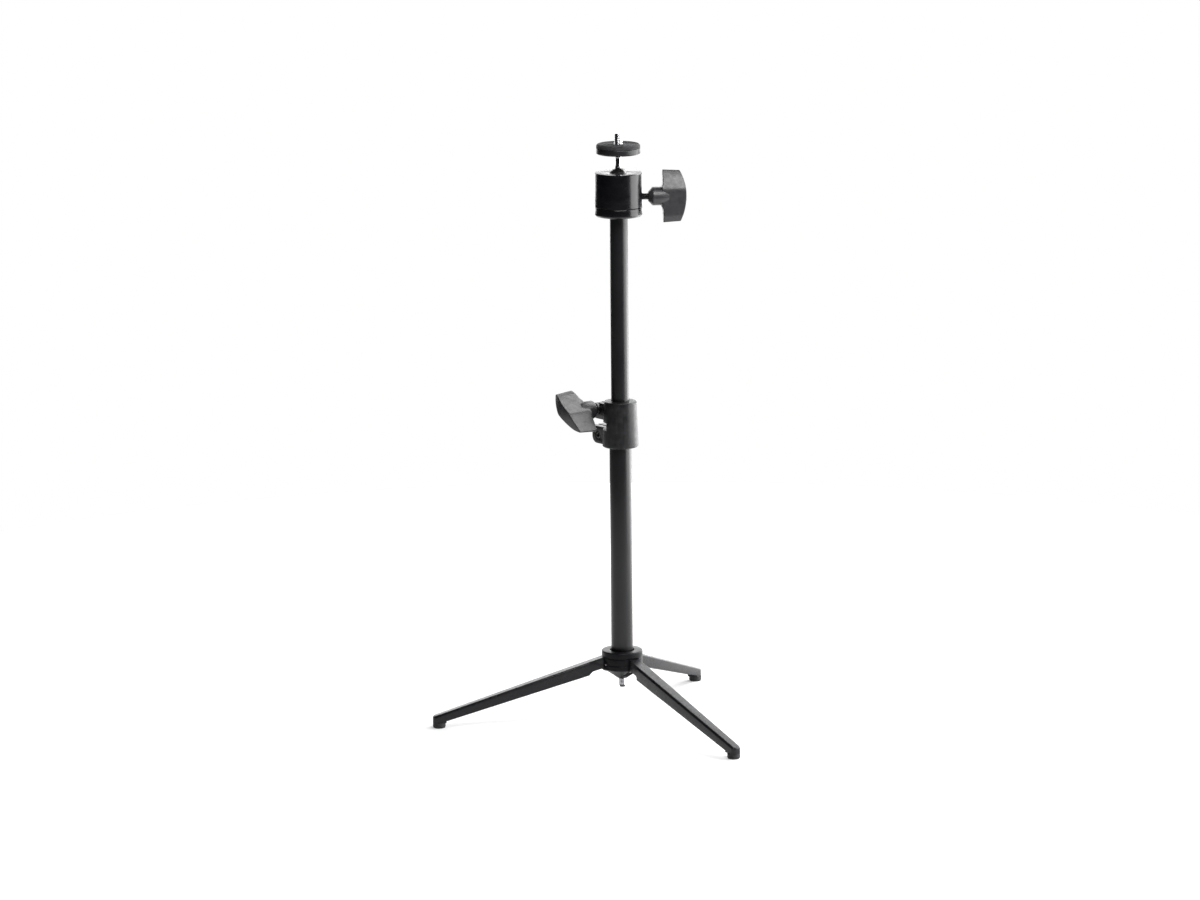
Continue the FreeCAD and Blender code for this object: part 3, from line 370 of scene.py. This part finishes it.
class Finish:
    """A Principled material in the making, with helpers for its detail."""

    def __init__(self, name, colour, metallic, roughness, specular=0.5):
        self.material = bpy.data.materials.new(name)
        self.material.use_nodes = True
        self.nodes = self.material.node_tree.nodes
        self.links = self.material.node_tree.links
        self.surface = self.nodes["Principled BSDF"]
        self.colour = colour
        self.surface.inputs["Base Color"].default_value = (*colour, 1)
        self.surface.inputs["Metallic"].default_value = metallic
        self.surface.inputs["Roughness"].default_value = roughness
        self.surface.inputs["Specular IOR Level"].default_value = specular
        self.roughness = roughness
        self.place = self.nodes.new("ShaderNodeTexCoord")
        self.last_bump = None

    def noise(self, scale, stretch=(1, 1, 1), detail=3.0, offset=0.0):
        """Noise whose scale counts features per metre."""
        mapping = self.nodes.new("ShaderNodeMapping")
        mapping.inputs["Scale"].default_value = stretch
        mapping.inputs["Location"].default_value = (offset, offset, offset)
        texture = self.nodes.new("ShaderNodeTexNoise")
        texture.inputs["Scale"].default_value = scale
        texture.inputs["Detail"].default_value = detail
        self.links.new(self.place.outputs["Object"], mapping.inputs["Vector"])
        self.links.new(mapping.outputs["Vector"], texture.inputs["Vector"])
        return texture.outputs["Fac"]

    def cells(self, scale):
        """Voronoi cells for moulded grain."""
        texture = self.nodes.new("ShaderNodeTexVoronoi")
        texture.inputs["Scale"].default_value = scale
        self.links.new(self.place.outputs["Object"], texture.inputs["Vector"])
        return texture.outputs["Distance"]

    def spread(self, factor, low, high):
        """Map a factor's middle range to a range of values."""
        ranged = self.nodes.new("ShaderNodeMapRange")
        ranged.inputs["From Min"].default_value = NOISE_LOW
        ranged.inputs["From Max"].default_value = NOISE_HIGH
        ranged.inputs["To Min"].default_value = low
        ranged.inputs["To Max"].default_value = high
        self.links.new(factor, ranged.inputs["Value"])
        return ranged.outputs["Result"]

    def bump(self, height, depth_mm, strength):
        """Add relief of a depth, on top of what is there."""
        relief = self.nodes.new("ShaderNodeBump")
        relief.inputs["Strength"].default_value = strength
        relief.inputs["Distance"].default_value = depth_mm * MM
        self.links.new(height, relief.inputs["Height"])
        if self.last_bump:
            self.links.new(self.last_bump, relief.inputs["Normal"])
        self.last_bump = relief.outputs["Normal"]
        self.links.new(self.last_bump, self.surface.inputs["Normal"])

    def vary_roughness(self, factor, amount):
        """Drift either side of the base roughness."""
        self.links.new(self.spread(factor, self.roughness - amount, self.roughness + amount),
                       self.surface.inputs["Roughness"])

    def vary_colour(self, factor, other):
        """Drift between the base colour and another one."""
        mix = self.nodes.new("ShaderNodeMix")
        mix.data_type = "RGBA"
        mix.inputs["A"].default_value = (*self.colour, 1)
        mix.inputs["B"].default_value = (*other, 1)
        self.links.new(self.spread(factor, 0.0, 1.0), mix.inputs["Factor"])
        self.links.new(mix.outputs["Result"], self.surface.inputs["Base Color"])


def tube_metal():
    """Satin black anodising over drawn tube: faint streaks along the column."""
    finish = Finish("tube_anodised", (0.004, 0.004, 0.005), 0.0, 0.31, 0.34)
    finish.bump(finish.noise(900, (1, 1, 0.012), 4), 0.006, 0.5)
    finish.bump(finish.noise(5200, detail=2), 0.004, 0.4)
    finish.vary_roughness(finish.noise(60, (1, 1, 0.3)), 0.05)
    finish.vary_colour(finish.noise(35, offset=3.0), (0.007, 0.007, 0.008))
    return finish.material


def hub_metal():
    """Satin black anodising on turned pieces."""
    finish = Finish("hub_anodised", (0.003, 0.003, 0.004), 0.0, 0.32, 0.10)
    finish.bump(finish.noise(2600, (0.05, 0.05, 1), 2), 0.006, 0.5)
    finish.bump(finish.noise(6000, detail=2), 0.005, 0.4)
    finish.vary_roughness(finish.noise(150), 0.06)
    finish.vary_colour(finish.noise(80, offset=5.0), (0.007, 0.007, 0.008))
    return finish.material


def leg_metal():
    """Fine satin powder coat on cast legs."""
    finish = Finish("leg_powder_coat", (0.003, 0.003, 0.004), 0.0, 0.31, 0.26)
    finish.bump(finish.noise(2300, detail=2), 0.05, 0.7)
    finish.bump(finish.noise(950, offset=2.0), 0.06, 0.4)
    finish.vary_roughness(finish.noise(300), 0.07)
    finish.vary_colour(finish.noise(1700, offset=7.0), (0.011, 0.011, 0.013))
    return finish.material


def head_metal():
    """Gloss black anodising with the finest turning lines."""
    finish = Finish("head_anodised", (0.002, 0.002, 0.003), 0.0, 0.24, 0.40)
    finish.bump(finish.noise(3200, (0.03, 0.03, 1), 2), 0.004, 0.5)
    finish.vary_roughness(finish.noise(120, (1, 1, 2)), 0.04)
    finish.vary_colour(finish.noise(60, offset=1.0), (0.004, 0.004, 0.005))
    return finish.material


def plate_metal():
    """Gloss black anodising on the camera plate."""
    finish = Finish("plate_anodised", (0.005, 0.005, 0.006), 0.0, 0.34, 0.35)
    finish.bump(finish.noise(3200, (0.03, 0.03, 1), 2), 0.005, 0.5)
    finish.vary_roughness(finish.noise(160), 0.05)
    finish.vary_colour(finish.noise(90, offset=4.0), (0.009, 0.009, 0.010))
    return finish.material


def bright_steel():
    """Polished nickel plate with a trace of handling marks."""
    finish = Finish("nickel_plate", (0.62, 0.62, 0.63), 1.0, 0.16)
    finish.bump(finish.noise(2400, (1, 1, 0.4), 2), 0.003, 0.4)
    finish.vary_roughness(finish.noise(420), 0.05)
    finish.vary_colour(finish.noise(500, offset=2.0), (0.66, 0.66, 0.68))
    return finish.material


def dark_steel():
    """Black oxide on steel."""
    finish = Finish("black_oxide", (0.045, 0.045, 0.048), 0.9, 0.26)
    finish.bump(finish.noise(3600, detail=2), 0.004, 0.4)
    finish.vary_roughness(finish.noise(380), 0.07)
    finish.vary_colour(finish.noise(240, offset=6.0), (0.075, 0.073, 0.072))
    return finish.material


def pin_steel():
    """Ground steel with fine lines round the pin."""
    finish = Finish("ground_steel", (0.45, 0.45, 0.46), 1.0, 0.28)
    finish.bump(finish.noise(4200, (1, 1, 0.1), 2), 0.003, 0.5)
    finish.vary_roughness(finish.noise(500), 0.06)
    finish.vary_colour(finish.noise(300, offset=2.0), (0.36, 0.36, 0.37))
    return finish.material


def collar_plastic():
    """Moulded glass-filled nylon, with a soft grain."""
    finish = Finish("collar_moulded", (0.004, 0.004, 0.005), 0.0, 0.36, 0.24)
    finish.bump(finish.cells(2400), 0.02, 0.4)
    finish.bump(finish.noise(420, detail=2), 0.04, 0.25)
    finish.vary_roughness(finish.noise(350), 0.06)
    finish.vary_colour(finish.noise(220, offset=3.0), (0.015, 0.015, 0.016))
    return finish.material


def knob_plastic():
    """Moulded knob plastic, a little greyer and with a fine grain."""
    finish = Finish("knob_moulded", (0.014, 0.013, 0.015), 0.0, 0.40, 0.55)
    finish.bump(finish.cells(2900), 0.025, 0.45)
    finish.bump(finish.noise(500, detail=2), 0.03, 0.25)
    finish.vary_roughness(finish.noise(320), 0.06)
    finish.vary_colour(finish.noise(260, offset=8.0), (0.022, 0.021, 0.023))
    return finish.material


def plug_aluminium():
    """Plain turned aluminium."""
    finish = Finish("turned_aluminium", (0.60, 0.60, 0.61), 1.0, 0.32)
    finish.bump(finish.noise(3000, (0.03, 0.03, 1), 2), 0.006, 0.6)
    finish.vary_roughness(finish.noise(260), 0.08)
    finish.vary_colour(finish.noise(120, offset=2.0), (0.50, 0.50, 0.52))
    return finish.material


def nylon():
    """Natural nylon, slightly translucent."""
    finish = Finish("natural_nylon", (0.78, 0.76, 0.70), 0.0, 0.45, 0.4)
    finish.surface.inputs["Subsurface Weight"].default_value = 0.2
    finish.surface.inputs["Subsurface Scale"].default_value = 0.5 * MM
    finish.bump(finish.noise(1500, detail=2), 0.01, 0.4)
    finish.vary_roughness(finish.noise(200), 0.06)
    finish.vary_colour(finish.noise(90, offset=2.0), (0.72, 0.70, 0.63))
    return finish.material


def brass():
    """Turned brass with fine lines."""
    finish = Finish("turned_brass", (0.72, 0.55, 0.25), 1.0, 0.28)
    finish.bump(finish.noise(3000, (1, 0.05, 0.05), 2), 0.005, 0.5)
    finish.vary_roughness(finish.noise(300), 0.08)
    finish.vary_colour(finish.noise(200, offset=2.0), (0.62, 0.46, 0.20))
    return finish.material


def foot_rubber():
    """Matte moulded rubber of the feet."""
    finish = Finish("foot_rubber", (0.014, 0.014, 0.015), 0.0, 0.68, 0.35)
    finish.bump(finish.noise(1900), 0.04, 0.5)
    finish.vary_roughness(finish.noise(420), 0.08)
    finish.vary_colour(finish.noise(520, offset=2.0), (0.024, 0.024, 0.025))
    return finish.material


def pad_rubber():
    """Duller rubber of the camera pad."""
    finish = Finish("pad_rubber", (0.012, 0.012, 0.013), 0.0, 0.70, 0.15)
    finish.bump(finish.noise(2200), 0.04, 0.5)
    finish.vary_roughness(finish.noise(300), 0.08)
    finish.vary_colour(finish.noise(400, offset=2.0), (0.032, 0.032, 0.034))
    return finish.material


FINISHES = {make.__name__: make() for make in (
    tube_metal, hub_metal, leg_metal, head_metal, plate_metal, bright_steel, dark_steel, pin_steel,
    collar_plastic, knob_plastic, plug_aluminium, nylon, brass, foot_rubber, pad_rubber)}


def stands_for(piece, node):
    """Dress a piece, let it ride with a CAD node's body and show it instead of that node."""
    piece.data.materials.clear()
    piece.data.materials.append(FINISHES[SLOT_OF[node]])
    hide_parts(node)
    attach(piece, BODY_OF[node])


# ---------------------------------------------------------------- sizes of the turned pieces

def heights(node):
    """Lowest and highest place of a node, in millimetres."""
    low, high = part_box(node)
    return low.z / MM, high.z / MM


def half_width(node):
    """Half of a node's extent along Y, in millimetres: a turned node's outer radius."""
    low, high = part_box(node)
    return (high.y - low.y) / 2 / MM


# ---------------------------------------------------------------- hub, legs and feet

SIDES = ("left", "front", "back")
HUB_ROLL_MM = 0.55
LEG_ROLL_MM = 0.8
STUD_TIP_MM = 1.9
STUD_PITCH_MM = 1.0
STUD_POINT_MM = 0.5


def hub():
    """The hub's two turned halves."""
    for node in ("hub_upper", "hub_lower"):
        stands_for(softened(node, node + "_turned", HUB_ROLL_MM), node)


def centre_stud():
    """Threaded stud through the hub; its free end is a dark point pressed into the bright rod, a
    painted reflection of the dark underside that the rod's bright end would mirror.
    """
    bottom, top = heights("hub_centre_stud")
    radius = half_width("hub_centre_stud")
    foot = COLUMN + UP * (bottom + STUD_TIP_MM) * MM
    length = top - bottom - STUD_TIP_MM
    rod = threaded("centre_stud_rod", along(foot, UP), length, radius, STUD_PITCH_MM, STUD_POINT_MM)
    stands_for(rod, "hub_centre_stud")
    point, neck = radius - 1.2, radius - 0.7
    shoulder, tip_top = bottom + STUD_TIP_MM - 0.6, bottom + STUD_TIP_MM + 0.2
    tip = lathe("centre_stud_painted_dark_tip", rounded_path([
        (0, bottom, 0), (point, bottom, 0.3), (neck, shoulder, 0.4), (neck, tip_top, 0.1),
        (0, tip_top, 0)]), segments=48)
    # The dark steel on this tip is a painted reflection: a dark piece where the bright rod's end would
    # show only the dark underside.
    tip.data.materials.append(FINISHES["dark_steel"])
    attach(tip, BODY_OF["hub_centre_stud"])


def legs():
    """The three cast legs."""
    for side in SIDES:
        stands_for(softened("leg_" + side, "leg_%s_cast" % side, LEG_ROLL_MM), "leg_" + side)


def feet():
    """Moulded pads with a rounded lip, a shallow ring round the side and a dished underside."""
    for side in SIDES:
        node = "foot_pad_" + side
        low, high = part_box(node)
        base = Matrix.Translation(((low.x + high.x) / 2, (low.y + high.y) / 2, 0))
        radius, top = half_width(node), high.z / MM
        seat, peg, dish = 4.0, 1.8, 0.35
        groove = radius - 0.25
        path = rounded_path([
            (0, dish, 0), (radius - 2.0, dish, 0.3), (radius - 1.5, 0, 0.3), (radius - 0.5, 0.1, 0.5),
            (radius, 1.3, 0.6), (radius, 2.0, 0.1), (groove, 2.2, 0.1), (groove, 2.5, 0.1),
            (radius, 2.7, 0.1), (radius, seat - 0.1, 0.25), (peg, seat, 0), (peg, top, 0.3),
            (0, top, 0)])
        stands_for(lathe("foot_%s_moulded" % side, path, segments=64, base=base), node)


# ---------------------------------------------------------------- column

LOWER_BORE_MM = 7.0
UPPER_BORE_MM = 5.3
GROOVE_RADIUS_MM = 6.2
GROOVE_GAP_MM = 0.1


def lower_tube():
    """Drawn tube with rolled ends."""
    bottom, top = heights("lower_tube")
    radius = half_width("lower_tube")
    path = rounded_path([
        (LOWER_BORE_MM, bottom, 0.15), (radius, bottom, 0.3), (radius, top, 0.3),
        (LOWER_BORE_MM, top, 0.15)], closed=True)
    stands_for(lathe("lower_tube_drawn", path, closed=True), "lower_tube")


def upper_tube():
    """Drawn tube with a groove near its foot for the guide bush."""
    bottom, top = heights("upper_tube")
    radius = half_width("upper_tube")
    bush_low, bush_high = heights("column_guide_bush")
    groove_low, groove_high = bush_low - GROOVE_GAP_MM, bush_high + GROOVE_GAP_MM
    path = rounded_path([
        (UPPER_BORE_MM, bottom, 0.1), (radius, bottom, 0.2), (radius, groove_low, 0),
        (GROOVE_RADIUS_MM, groove_low, 0), (GROOVE_RADIUS_MM, groove_high, 0),
        (radius, groove_high, 0), (radius, top, 0), (UPPER_BORE_MM, top, 0)], closed=True)
    stands_for(lathe("upper_tube_drawn", path, closed=True), "upper_tube")


# ---------------------------------------------------------------- collar and its screws

CLAMP_AXIS = Vector(JOINTS["clamp_knob_turn"]["axis"])
CLAMP_MIDDLE = Vector(JOINTS["clamp_knob_turn"]["pos_m"])
LOCK_AXIS = Vector(JOINTS["lock_knob_turn"]["axis"])
LOCK_MIDDLE = Vector(JOINTS["lock_knob_turn"]["pos_m"])
EAR_FACE_MM = 5.0
EAR_FACE_WITHIN_MM = 0.05
EAR_ROOT_RADIUS_MM = 14.0
EAR_ROLL_MM = 1.3
PLAIN_ROLL_MM = 0.45
SEAT_ROLL_SHARE = 0.35
SEAT_RADIUS_MM = 5.3
NUT_ROLL_MM = 0.25
FIXING_HEAD_RADIUS_MM = 2.7
SOCKET_WITHIN_MM = 0.01
SOCKET_SHARP_ANGLE = 25
KNOB_SCREW_RADIUS_MM = 2.5
KNOB_SCREW_PITCH_MM = 0.8


def reach(node, direction, start):
    """Nearest and furthest place of a node's mesh along a direction, from a start."""
    places = [(vertex.co - start).dot(direction) for vertex in frame["nodes"][node].data.vertices]
    return min(places), max(places)


def on_ear_face(edge):
    """An edge round the outer face of an ear."""
    away = [abs((vertex.co - CLAMP_MIDDLE).dot(CLAMP_AXIS)) for vertex in edge.verts]
    outside = [(vertex.co - COLUMN).to_2d().length > EAR_ROOT_RADIUS_MM * MM for vertex in edge.verts]
    on_face = [abs(place - EAR_FACE_MM * MM) < EAR_FACE_WITHIN_MM * MM for place in away]
    return all(on_face) and all(outside)


def in_screw_seat(edge):
    """An edge of the holes and seats along the clamp's two screws."""
    for height in (CLAMP_MIDDLE.z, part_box("collar_fixing_screw")[0].z + FIXING_HEAD_RADIUS_MM * MM):
        axis_point = Vector((CLAMP_MIDDLE.x, CLAMP_MIDDLE.y, height))
        off_axis = [(vertex.co - axis_point).cross(CLAMP_AXIS).length for vertex in edge.verts]
        if all(distance < SEAT_RADIUS_MM * MM for distance in off_axis):
            return True
    return False


def roll_share(edge):
    """Share of the ear's wide roll that an edge of the collar gets."""
    if in_screw_seat(edge):
        return SEAT_ROLL_SHARE * PLAIN_ROLL_MM / EAR_ROLL_MM
    return 1.0 if on_ear_face(edge) else PLAIN_ROLL_MM / EAR_ROLL_MM


def collar():
    """Moulded split collar with full, round ears, and the nut in its far ear."""
    moulded = softened("clamp_collar", "clamp_collar_moulded", EAR_ROLL_MM, roll_share)
    stands_for(moulded, "clamp_collar")
    stands_for(softened("clamp_nut", "clamp_nut_forged", NUT_ROLL_MM), "clamp_nut")


def knob_screw(name, node, middle, axis, point_mm):
    """M5 screw of a wing knob, along the knob's axis, chamfered over a point's length."""
    start, end = reach(node, axis, middle)
    base = along(middle + axis * start, axis)
    length = (end - start) / MM
    stands_for(threaded(name, base, length, KNOB_SCREW_RADIUS_MM, KNOB_SCREW_PITCH_MM, point_mm), node)


def clamp_screw():
    """The clamp's screw."""
    knob_screw("clamp_screw_thread", "clamp_screw", CLAMP_MIDDLE, CLAMP_AXIS, point_mm=0.5)


def clamp_washer():
    """Pressed washer, rounder on the knob's side."""
    start, end = reach("clamp_washer", CLAMP_AXIS, CLAMP_MIDDLE)
    base = along(CLAMP_MIDDLE + CLAMP_AXIS * start, CLAMP_AXIS)
    thick = (end - start) / MM
    bore, rim = 2.55, 4.4
    path = rounded_path([
        (bore, 0, 0.15), (rim, 0, 0.15), (rim, thick, 0.4), (bore, thick, 0.15)], closed=True)
    stands_for(lathe("clamp_washer_pressed", path, closed=True, segments=64, base=base), "clamp_washer")


def fixing_screw():
    """Socket screw: a rounded head with a six-sided socket, over a plain shank."""
    node = "collar_fixing_screw"
    low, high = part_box(node)
    middle = Vector((CLAMP_MIDDLE.x, CLAMP_MIDDLE.y, (low.z + high.z) / 2))
    start, end = reach(node, CLAMP_AXIS, middle)
    base = along(middle + CLAMP_AXIS * start, CLAMP_AXIS)
    length = (end - start) / MM
    head, radius, shank, socket, deep = 2.2, FIXING_HEAD_RADIUS_MM, 1.5, 1.25, 1.5
    chamfer, drill_point = 0.25, 0.3
    corner_reach = 1.1  # of the socket's radius, out to the corners of its six sides
    sector = math.radians(60)
    path = rounded_path([
        (0, 0, 0), (shank, 0, 0.3), (shank, length - head, 0), (radius, length - head, 0.1),
        (radius, length, 0.5), (socket + chamfer, length, 0.05), (socket, length - chamfer, 0),
        (socket, length - deep, 0), (0, length - deep - drill_point, 0)])
    made = lathe("collar_fixing_socket", path, segments=48, base=base)
    inside = base.inverted()
    for vertex in made.data.vertices:
        place = inside @ vertex.co
        across = place.to_2d()
        on_socket_wall = abs(across.length - socket * MM) < SOCKET_WITHIN_MM * MM
        if on_socket_wall and place.z > (length - head) * MM:
            turn = (math.atan2(across.y, across.x) + sector / 2) % sector - sector / 2
            across = across * (math.cos(sector / 2) / math.cos(turn) * corner_reach)
            vertex.co = base @ Vector((across.x, across.y, place.z))
    smooth(made.data, SOCKET_SHARP_ANGLE)
    stands_for(made, node)


# ---------------------------------------------------------------- wing knobs, in millimetres

HUB_RADIUS = 6.7
HUB_LENGTH = 10.6
HUB_INSIDE_WING = 4
HUB_END_TAPER = 1.2
NOSE_RADIUS = 3.4
NOSE_LENGTH = 3.1
WING_HALF = 19.0
WING_BEVEL = 14.9
WING_BEVEL_THICK = 3.2
WING_END_THICK = 1.2
WING_RIDGE = 6.2
WING_RIDGE_OFFSET = -4.6
WING_ROUND = 0.8
WING_ROUND_SHARE = 0.45  # of the thickness, the most that one rounded edge may take
WING_TIP_SHRINK = 0.4
WING_DRAFT = math.tan(math.radians(3.0))
RIDGE_SOFTNESS = 0.28
CROWN_RADIUS = 45.0
ROOT_REACH = 1.0
ROOT_SPREAD = 1.3
ROOT_POWER = 1.4
WING_LEVELS = 72
FLANK_STEPS = 14
UNION_SHARP_ANGLE = 32
HEAD_WING_TURN = math.radians(-9.0)
CLAMP_WING_TURN = math.radians(49.0)


def line_between(place, first, last):
    """Height, at a place, of the line through two points."""
    share = (place - first[0]) / (last[0] - first[0])
    return first[1] + share * (last[1] - first[1])


def flank(place):
    """Height of the wing's upper side at a place across it: four facets with soft ridges."""
    facets = [
        line_between(place, (WING_BEVEL, WING_BEVEL_THICK), (WING_HALF, WING_END_THICK)),
        line_between(place, (WING_RIDGE_OFFSET, WING_RIDGE), (WING_BEVEL, WING_BEVEL_THICK)),
        line_between(place, (WING_RIDGE_OFFSET, WING_RIDGE), (-WING_BEVEL, WING_BEVEL_THICK)),
        line_between(place, (-WING_BEVEL, WING_BEVEL_THICK), (-WING_HALF, WING_END_THICK))]
    return -RIDGE_SOFTNESS * math.log(sum(math.exp(-facet / RIDGE_SOFTNESS) for facet in facets))


def wing_loop(place, length, shrink):
    """Rounded outline of the wing at one place across it, in the plane of the screw."""
    lift = max(0.0, abs(place) - HUB_RADIUS)
    inner = HUB_LENGTH - ROOT_REACH * math.exp(-(lift / ROOT_SPREAD) ** ROOT_POWER)
    outer = length - CROWN_RADIUS + math.sqrt(CROWN_RADIUS ** 2 - place ** 2)
    high, low = flank(place) - shrink, -flank(-place) + shrink
    taper = WING_DRAFT * (outer - HUB_LENGTH)
    inner, outer = inner + shrink, outer - shrink
    rounding = min(WING_ROUND, WING_ROUND_SHARE * (high - low - 2 * taper))
    shares = [step / FLANK_STEPS for step in range(1, FLANK_STEPS)]
    lower = [(inner + share * (outer - inner), low + share * taper, 0) for share in shares]
    upper = [(outer - share * (outer - inner), high - (1 - share) * taper, 0) for share in shares]
    return rounded_path([
        (inner, low, rounding), *lower, (outer, low + taper, rounding),
        (outer, high - taper, rounding), *upper, (inner, high, rounding)], closed=True)


def wing(base, length):
    """The wing alone, as a row of outlines across it."""
    shape = bmesh.new()
    loops = []
    for level in range(WING_LEVELS + 1):
        place = -math.cos(math.pi * level / WING_LEVELS) * WING_HALF
        rounded_off = max(0.0, 1 - (WING_HALF - abs(place)) / WING_ROUND)
        shrink = WING_TIP_SHRINK * WING_ROUND * (1 - math.sqrt(1 - rounded_off ** 2))
        pull = WING_DRAFT * place / WING_HALF
        loop = [Vector((x, y, place - pull * max(0.0, x - HUB_LENGTH)))
                for x, y in wing_loop(place, length, shrink)]
        loops.append([shape.verts.new(base @ (point * MM)) for point in loop])
    for low, high in zip(loops, loops[1:]):
        count = len(low)
        for step in range(count):
            ahead = (step + 1) % count
            shape.faces.new((low[step], low[ahead], high[ahead], high[step]))
    shape.faces.new(loops[0])
    shape.faces.new(loops[-1])
    return finished("wing", shape)


def wing_knob(name, node, start, direction, turn):
    """Moulded knob: a round hub with a nose, joined to a skewed wing with a crowned outer end."""
    near, far = reach(node, direction, start)
    length = (far - near) / MM
    facing = direction.to_track_quat("X", "Z").to_matrix().to_4x4()
    base = Matrix.Translation(start + direction * near) @ facing @ Matrix.Rotation(turn, 4, "X")
    bore, end = KNOB_SCREW_RADIUS_MM, HUB_LENGTH + HUB_INSIDE_WING
    path = rounded_path([
        (0, 1.2, 0), (bore, 0.6, 0), (bore + 0.2, 0, 0.1), (NOSE_RADIUS, 0, 0.4),
        (HUB_RADIUS, NOSE_LENGTH, 1.2), (HUB_RADIUS, HUB_LENGTH, 0),
        (HUB_RADIUS - HUB_END_TAPER, end, 0), (0, end, 0)])
    made = lathe(name, path, segments=72, base=base @ Matrix.Rotation(math.pi / 2, 4, "Y"))
    other = wing(base, length)
    union = made.modifiers.new("union", "BOOLEAN")
    union.operation = "UNION"
    union.solver = "EXACT"
    union.object = other
    applied(made, UNION_SHARP_ANGLE)
    bpy.data.objects.remove(other)
    stands_for(made, node)


def knobs():
    """The collar's knob and the ball head's."""
    wing_knob("clamp_knob_moulded", "clamp_wing_knob", CLAMP_MIDDLE, CLAMP_AXIS, CLAMP_WING_TURN)
    wing_knob("head_knob_moulded", "head_wing_knob", LOCK_MIDDLE, LOCK_AXIS, HEAD_WING_TURN)


# ---------------------------------------------------------------- ball head

SHELL_ROLL_MM = 0.25
PLATE_ROLL_MM = 0.3
BALL_STEPS = 40
BALL_GAP_MM = 0.08
HOLLOW_STEPS = 5
HOLLOW_STEP_MM = 0.52
PAD_GROOVES = 7
PAD_GROOVE_DEPTH_MM = 0.28
PAD_GROOVE_WALL_MM = 0.25
PAD_BORE_MM = 3.65
PAD_RIM_MM = 1.6
PAD_INNER_FLAT_MM = 1.2
CAMERA_SCREW_RADIUS_MM = 3.175
CAMERA_SCREW_PITCH_MM = 1.27
CAMERA_SCREW_POINT_MM = 0.7


def head_shell():
    """The housing and the ring under it."""
    for node in ("head_base_ring", "head_housing"):
        stands_for(softened(node, node + "_turned", SHELL_ROLL_MM), node)


def lock_screw():
    """The ball head's screw."""
    knob_screw("head_lock_thread", "head_lock_screw", LOCK_MIDDLE, LOCK_AXIS, point_mm=0.6)


def ball_and_stem():
    """Polished ball with a turned waist on top, hollowed under its foot to clear the ball."""
    bottom, top = heights("ball")
    radius, middle = (top - bottom) / 2, (top + bottom) / 2
    turns = [math.pi * step / BALL_STEPS for step in range(BALL_STEPS + 1)]
    path = [(radius * math.sin(turn), middle - radius * math.cos(turn)) for turn in turns]
    path[0], path[-1] = (0, bottom), (0, top)
    stands_for(lathe("ball_polished", path), "ball")
    head = heights("ball_stem")[1]
    plate = heights("camera_plate")[0]
    foot, waist, flange, peg = 2.6, 2.05, 3.1, 2.2
    hollow = [(across, middle + math.sqrt((radius + BALL_GAP_MM) ** 2 - across ** 2))
              for across in (step * HOLLOW_STEP_MM for step in range(HOLLOW_STEPS))]
    outside = rounded_path([
        (foot, top - 0.1, 0), (foot, top + 0.5, 0.5), (waist, top + 2.4, 1.5),
        (waist, plate - 2.6, 1.5), (flange, plate - 0.3, 0.2), (flange, plate - 0.12, 0.05),
        (peg, plate - 0.12, 0), (peg, head - 0.2, 0.1), (0, head, 0)])
    stands_for(lathe("ball_stem_turned", hollow + outside, segments=64), "ball_stem")


def camera_plate():
    """The plate that the camera sits on."""
    stands_for(softened("camera_plate", "camera_plate_turned", PLATE_ROLL_MM), "camera_plate")


def plate_pad():
    """Rubber pad with rounded edges and shallow rings on its top."""
    bottom, top = heights("plate_pad")
    radius, bore = half_width("plate_pad"), PAD_BORE_MM
    flat = radius - PAD_RIM_MM
    pitch = (flat - bore - PAD_INNER_FLAT_MM) / PAD_GROOVES
    corners = [(bore, bottom, 0), (radius - 0.2, bottom, 0.15), (radius, bottom + 0.3, 0.2),
               (radius, top - 1.0, 0.9), (radius - 1.1, top, 1.0)]
    for index in range(PAD_GROOVES):
        outer, floor_of_groove = flat - index * pitch, top - PAD_GROOVE_DEPTH_MM
        corners += [(outer, top, 0.1), (outer - PAD_GROOVE_WALL_MM, floor_of_groove, 0.08),
                    (outer - 2 * PAD_GROOVE_WALL_MM, floor_of_groove, 0.08),
                    (outer - 3 * PAD_GROOVE_WALL_MM, top, 0.1)]
    corners.append((bore, top, 0.15))
    path = rounded_path(corners, closed=True, steps=3)
    stands_for(lathe("plate_pad_moulded", path, closed=True), "plate_pad")


def camera_stud():
    """Quarter-inch camera screw, 20 threads to the inch, on a plain collar inside the plate."""
    bottom, top = heights("camera_stud")
    pad_top = heights("plate_pad")[1]
    sunk, radius, collar_top = 1.0, 3.6, pad_top - 0.1
    rod = threaded("camera_stud_thread", along(COLUMN + UP * (pad_top - sunk) * MM, UP),
                   top - pad_top + sunk, CAMERA_SCREW_RADIUS_MM, CAMERA_SCREW_PITCH_MM,
                   CAMERA_SCREW_POINT_MM)
    collar = lathe("camera_stud_collar", rounded_path([
        (0, bottom, 0), (radius, bottom, 0.1), (radius, collar_top, 0.2), (0, collar_top, 0)]),
        segments=64)
    stands_for(rod, "camera_stud")
    collar.data.materials.append(FINISHES["dark_steel"])
    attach(collar, BODY_OF["camera_stud"])


# ---------------------------------------------------------------- the scene

camera()
lights()
world()
floor()

# Every CAD piece gets its finish; the ones that nothing below stands for are seen as they are.
for node, thing in frame["nodes"].items():
    thing.data.materials.clear()
    thing.data.materials.append(FINISHES[SLOT_OF[node]])

for make in (hub, centre_stud, legs, feet, lower_tube, upper_tube, collar, clamp_screw, clamp_washer,
             fixing_screw, knobs, head_shell, lock_screw, ball_and_stem, camera_plate, plate_pad,
             camera_stud):
    make()
bpy.context.scene.view_settings.view_transform = "Standard"
